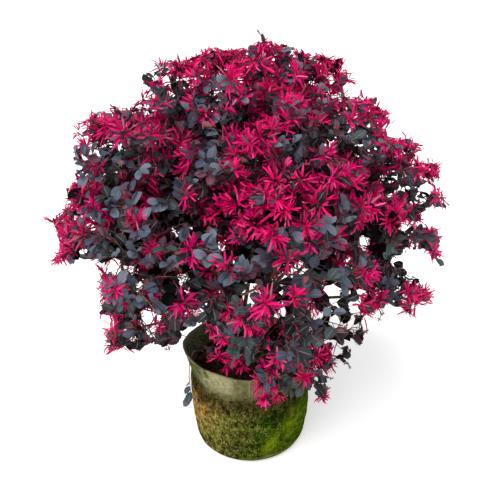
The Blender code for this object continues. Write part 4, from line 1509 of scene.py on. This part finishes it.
def add_petal(root, heading, way, size, tint, dice, crown):
    """One strap petal, which curls away from the way that its flower faces."""
    side = (heading.cross(way + UP * PETAL_DROOP) + any_direction(dice) * PETAL_TILT).normalized()
    side = (side - heading * side.dot(heading)).normalized()
    length, width = dice.uniform(*PETAL_LENGTHS) * size, PETAL_WIDTH * dice.uniform(*PETAL_WIDTHS)
    bend = (dice.uniform(*PETAL_CURLS), dice.gauss(0, PETAL_TWIST), dice.uniform(0, 2 * math.pi))
    crown.petals.setdefault(tint, []).append((root, heading, side, length, width, *bend))


def bloom_at(tip, along, space, size, dice, crown):
    """A cluster of flowers round the end of a shoot, each of a few strap petals, over small calyxes."""
    outward = (tip - space.mass.middle).normalized()
    axis = (along + outward + UP * BLOOM_UPWARD).normalized()
    chief = pick(dice, CHIEF_SHARES)
    for ray in spiral_rays(axis, round(dice.uniform(*FLOWERS) * size), FLOWER_SPREAD):
        way = (ray + any_direction(dice) * FLOWER_STRAY).normalized()
        side = way.orthogonal().normalized()
        other = way.cross(side)
        root = tip + way * dice.uniform(*FLOWER_STALKS) * size + any_direction(dice) * FLOWER_JITTER
        for k in range(PETALS):
            angle = (k + dice.uniform(-PETAL_UNEVEN, PETAL_UNEVEN)) * 2 * math.pi / PETALS
            splay = dice.uniform(*PETAL_SPLAY)
            aside = side * math.cos(angle) + other * math.sin(angle)
            heading = way * math.cos(splay) + aside * math.sin(splay) + any_direction(dice) * PETAL_STRAY
            heading.normalize()
            tint = chief if dice.random() < CHIEF_SHARE else pick(dice, PETAL_SHARES)
            add_petal(root, heading, way, size, tint, dice, crown)
    for ray in spiral_rays(axis, CALYXES, CALYX_SPREAD):
        heading = (ray + any_direction(dice) * CALYX_STRAY).normalized()
        crown.buds.append((tip - ray * CALYX_SINK, heading, CALYX_LENGTH))


def grow_blooms(space, shoots, crown, dice):
    """Blossoms at the ends of the outer shoots, by the mass's share, and buds on some others."""
    for path, _ in shoots:
        tip, along = path[-1], (path[-1] - path[-2]).normalized()
        outer = float(space.depth(tip)) > BLOOM_DEPTH
        taken = np.array(crown.blooms)
        plenty = bloom_field(tip)
        gap = BLOOM_SPACING * plenty**-BLOOM_CROWDING
        room = not len(taken) or np.linalg.norm(taken - np.array(tip), axis=1).min() > gap
        likely = space.mass.bloom * plenty * (1 + BLOOM_PATCHINESS * noise.noise(tip * BLOOM_PATCHES))
        if outer and room and dice.random() < likely:
            crown.blooms.append(tuple(tip))
            bloom_at(tip, along, space, dice.uniform(*BLOOM_SIZES), dice, crown)
        elif outer and dice.random() < BUDDING:
            for ray in spiral_rays(along, dice.randint(*BUDS), BUD_SPREAD):
                crown.buds.append((tip, ray, dice.uniform(*BUD_LENGTHS)))


def grow_mass(mass, masses, limb, crown):
    """A mass's stem, twigs, shoots, leaves and blossoms, all added to the crown."""
    dice = random.Random("fringe " + mass.name)
    space = Space(mass, masses)
    tip, along, radius = limb.at(1.0)
    control = tip.lerp(mass.middle, STEM_BEND[0]) + along * STEM_BEND[1]
    stem = curve_points(tip, control, mass.middle, TWIG_STEPS)
    crown.twigs.append((stem, radius, TWIG_RADIUS * STEM_END))
    shoots = []
    for path in twig_tree(mass, space, stem[2:], dice):
        crown.twigs.append((path, TWIG_RADIUS, TWIG_RADIUS * TWIG_TAPER))
        shoots += [(shoot, dice.random() < YOUNG_SHOOTS) for shoot in side_shoots(space, path, dice)]
        shoots.append((path[-3:] + [path[-1] + (path[-1] - path[-2]) * END_SHOOT], False))
    crown.shoots += [path for path, _ in shoots]
    grow_leaves(space, shoots, crown, dice)
    grow_blooms(space, shoots, crown, dice)


def grow_strays(crown):
    """Bare twigs that come up from the soil, lean over the rim and bear a few leaves at the end."""
    dice = random.Random("strays")
    for start, control, end, leaves in STRAYS:
        path = curve_points(start, control, end, TWIG_STEPS)
        crown.twigs.append((path, TWIG_RADIUS, TWIG_RADIUS * TWIG_TAPER))
        along = (path[-1] - path[-2]).normalized()
        for k in range(leaves):
            root = path[-2].lerp(path[-1], (k + 1) / leaves)
            heading = (along + level_heading(dice) * STRAY_LEAF_SPREAD).normalized()
            tilt = Vector((dice.gauss(0, STRAY_LEAF_TILT), 0.0, 0.0))
            normal = (STRAY_LEAF_FACE + tilt).normalized()
            leaf = (root, heading, normal, dice.uniform(*LEAF_LENGTHS), *STRAY_LEAF_BEND)
            crown.leaves[pick(dice, LIT_LEFT_TINTS)].append(leaf)


def dry_tip_rows(crown):
    """Curled dry leaves, on the shoots whose ends are seen nearest to the places for them."""
    dice = random.Random("dry tips")
    ends = [path[-1] for path in crown.shoots]
    seen = picture_places(ends)
    rows = []
    for place in DRY_TIPS:
        tip = ends[int(np.linalg.norm(seen - np.array(place), axis=1).argmin())]
        for _ in range(DRY_TIP_LEAVES):
            heading = (UP + any_direction(dice) * DRY_TIP_STRAY).normalized()
            side = heading.orthogonal().normalized()
            length, twist = dice.uniform(*DRY_TIP_LENGTHS), dice.gauss(0, DRY_TIP_TWIST)
            rows.append((tip, heading, side, length, DRY_TIP_WIDTH, DRY_TIP_CURL, twist, 0.0))
    return rows


# Leaves, petals and twigs as grids

RIB_EDGES = (0.5 - RIB_WIDTH, 0.5 + RIB_WIDTH)
LEAF_PLACES = np.array([[(u, t) for u in (0.0, *RIB_EDGES, 1.0)] for t, _ in LEAF_ROWS])
LEAF_KINDS = np.tile([0, 1, 0], len(LEAF_ROWS) - 1)


def leaf_grids(roots, headings, normals, lengths, folds, arches):
    """Leaves in their own outline, folded along the midrib and arched to the tip."""
    sides = unit(np.cross(headings, normals))
    normals = np.cross(sides, headings)
    rows = []
    for t, wide in LEAF_ROWS:
        sink = arches * lengths * (t - ARCH_TOP) ** 2
        spine = roots + headings * (lengths * t)[:, None] - normals * sink[:, None]
        half = (lengths * LEAF_WIDTH / 2 * wide)[:, None]
        edge, rib = sides * half, sides * (half * 2 * RIB_WIDTH)
        lift = normals * half * folds[:, None]
        rows.append([spine - edge + lift, spine - rib, spine + rib, spine + edge + lift])
    return np.array(rows).transpose(2, 0, 1, 3)


def petal_grids(roots, headings, sides, lengths, widths, curls, twists, waves):
    """Strap petals: wavy ribbons that curl away from their heading and twist along it."""
    ups = np.cross(sides, headings)
    steps = len(PETAL_ROWS) - 1
    point, rows = roots, []
    for i, wide in enumerate(PETAL_ROWS):
        wave = PETAL_WAVE * np.sin(waves + PETAL_WAVE_TURN * i)
        angle, turn = (curls * i / steps + wave)[:, None], (twists * i / steps)[:, None]
        direction = headings * np.cos(angle) - ups * np.sin(angle)
        normal = headings * np.sin(angle) + ups * np.cos(angle)
        across = (sides * np.cos(turn) + normal * np.sin(turn)) * (widths * wide / 2)[:, None]
        rows.append([point - across, point + across])
        point = point + direction * (lengths / steps)[:, None]
    return np.array(rows).transpose(2, 0, 1, 3)


def bud_grids(roots, headings, lengths):
    """Small pointed buds and calyxes."""
    shares, radii = np.array(BUD_SHAPE).T
    paths = roots[:, None] + headings[:, None] * (lengths[:, None] * shares)[..., None]
    return tube_grids(paths, lengths[:, None] * radii, 3)


def make_leaves(crown, nodes):
    """A piece for each tint of leaf. Those in the shade have no rib."""
    rib = leaf_finish("leaf_rib", rgb(104, 104, 112), RIB_ROUGHNESS)
    for tint, rows in crown.leaves.items():
        shady = tint in SHADE_TINTS
        grids = leaf_grids(*columns(rows))
        finish = leaf_finish("leaf_" + tint, LEAF_TINTS[tint], gloss=SHADE_GLOSS if shady else LEAF_GLOSS)
        name = "leaves_" + tint
        if shady:
            piece(name, "foliage", nodes, [finish], grids[:, :, ::3], places=LEAF_PLACES[:, ::3])
        else:
            piece(name, "foliage", nodes, [finish, rib], grids, kinds=LEAF_KINDS, places=LEAF_PLACES)


def make_petals(crown, nodes):
    """A piece for each tint of petal, without those that would hide the sky or leave the dome."""
    for tint, rows in crown.petals.items():
        petals = columns(rows)
        ends = petals[0] + petals[1] * petals[3][:, None]
        out = (ends - np.array(CROWN_MIDDLE)) / (np.array(CROWN_RADII) + PETALS_BEYOND)
        shown = ~in_open_sky(ends, PETAL_SLACK) & (np.linalg.norm(out, axis=1) < 1)
        finish = soft_finish("petal_" + tint, PETAL_TINTS[tint], PETAL_ROUGHNESS, PETAL_GRAIN)
        piece("petals_" + tint, "blossom", nodes, [finish], petal_grids(*[part[shown] for part in petals]))


def make_tips(crown, nodes):
    """Dry curled leaves, calyxes and buds."""
    dry = leaf_finish("dry_curled_leaf", rgb(66, 40, 40), DRY_ROUGHNESS)
    piece("dry_curled_leaves", "foliage", nodes, [dry], petal_grids(*columns(dry_tip_rows(crown))))
    dull = soft_finish("calyx_and_bud", rgb(150, 62, 74), DRY_ROUGHNESS, CALYX_GRAIN)
    piece("calyxes_and_buds", "blossom", nodes, [dull], bud_grids(*columns(crown.buds)), closed=True)


def make_twigs(crown, nodes):
    """Twigs and leafy shoots, as two pieces."""
    paths, first, last = columns(crown.twigs)
    grids = tube_grids(paths, np.linspace(first, last, TWIG_STEPS + 1, axis=1), 6)
    bark = bark_finish("twig_bark", rgb(66, 52, 46), rgb(118, 98, 88), rgb(146, 128, 116))
    piece("twigs", "bark", nodes, [bark], grids, closed=True)
    paths = np.array(crown.shoots)
    radii = np.tile(np.linspace(SHOOT_RADIUS, SHOOT_RADIUS * TWIG_TAPER, SHOOT_STEPS + 1), (len(paths), 1))
    bark = bark_finish("shoot_bark", rgb(84, 50, 52), rgb(146, 104, 100), rgb(172, 134, 128))
    piece("leafy_shoots", "bark", nodes, [bark], tube_grids(paths, radii, 3), closed=True)


# Floor, light and camera


def make_stage():
    """A wide pale floor that glows a little, so that it stays white under the plant."""
    bpy.ops.mesh.primitive_circle_add(vertices=FLOOR_SIDES, radius=FLOOR_RADIUS, fill_type="NGON")
    floor = bpy.context.object
    floor.name = "floor"
    pale = Finish("pale_floor", Base_Color=rgb(246, 246, 246), Roughness=0.9, Specular_IOR_Level=0.0)
    pale.wear(Emission_Color=(1.0, 1.0, 1.0, 1.0), Emission_Strength=FLOOR_GLOW)
    floor.data.materials.append(pale.material)
    floor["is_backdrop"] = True


def make_world():
    """A pale room, brightest round the horizon so that floor and room run together."""
    world = bpy.data.worlds.new("pale_room")
    nodes = Nodes(world)
    up = nodes.add("SeparateXYZ", {"Vector": nodes.add("TexCoord", {}, "Generated")}, "Z")
    ends = dict(zip(("From Min", "From Max", "To Min", "To Max"), HORIZON_BAND + ROOM_STRENGTHS))
    strength = nodes.add("MapRange", {"Value": up} | ends, interpolation_type="SMOOTHSTEP")
    nodes.plug(nodes.tree.nodes["Background"], {"Color": ROOM_COLOUR, "Strength": strength})
    bpy.context.scene.world = world


def make_sun():
    """One broad soft light from above, in front and to the left."""
    data = bpy.data.lights.new("key", "SUN")
    data.energy = SUN_STRENGTH
    data.angle = SUN_BREADTH
    made = bpy.data.objects.new("key", data)
    made.rotation_euler = SUN_FROM.to_track_quat("Z", "Y").to_euler()
    bpy.context.scene.collection.objects.link(made)


def make_camera():
    data = bpy.data.cameras.new("camera")
    data.lens = CAMERA_LENS
    data.sensor_width = CAMERA_SENSOR
    camera = bpy.data.objects.new("camera", data)
    camera.location = CAMERA_AT
    camera.rotation_euler = (math.pi / 2 - CAMERA_DOWN, 0.0, 0.0)
    bpy.context.scene.collection.objects.link(camera)
    bpy.context.scene.camera = camera


def plain(box):
    return [[round(float(c), 6) for c in corner] for corner in box]


def main():
    cad_box = plain(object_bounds())
    make_camera()
    make_stage()
    make_world()
    make_sun()
    bpy.context.scene.view_settings.view_transform = "Standard"
    trunk = make_trunk_limb()
    masses = plan_masses()
    limbs = plan_limbs(masses, trunk)
    make_bag()
    make_soil()
    make_litter()
    make_limbs(trunk, limbs)
    crown = Crown()
    for mass in masses:
        grow_mass(mass, masses, limbs[mass.name], crown)
    grow_strays(crown)
    nodes = ["mass_" + mass.name for mass in masses]
    make_leaves(crown, nodes)
    make_petals(crown, nodes)
    make_tips(crown, nodes)
    make_twigs(crown, nodes)
    {"cad": cad_box, "visual": plain(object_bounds())}


main()
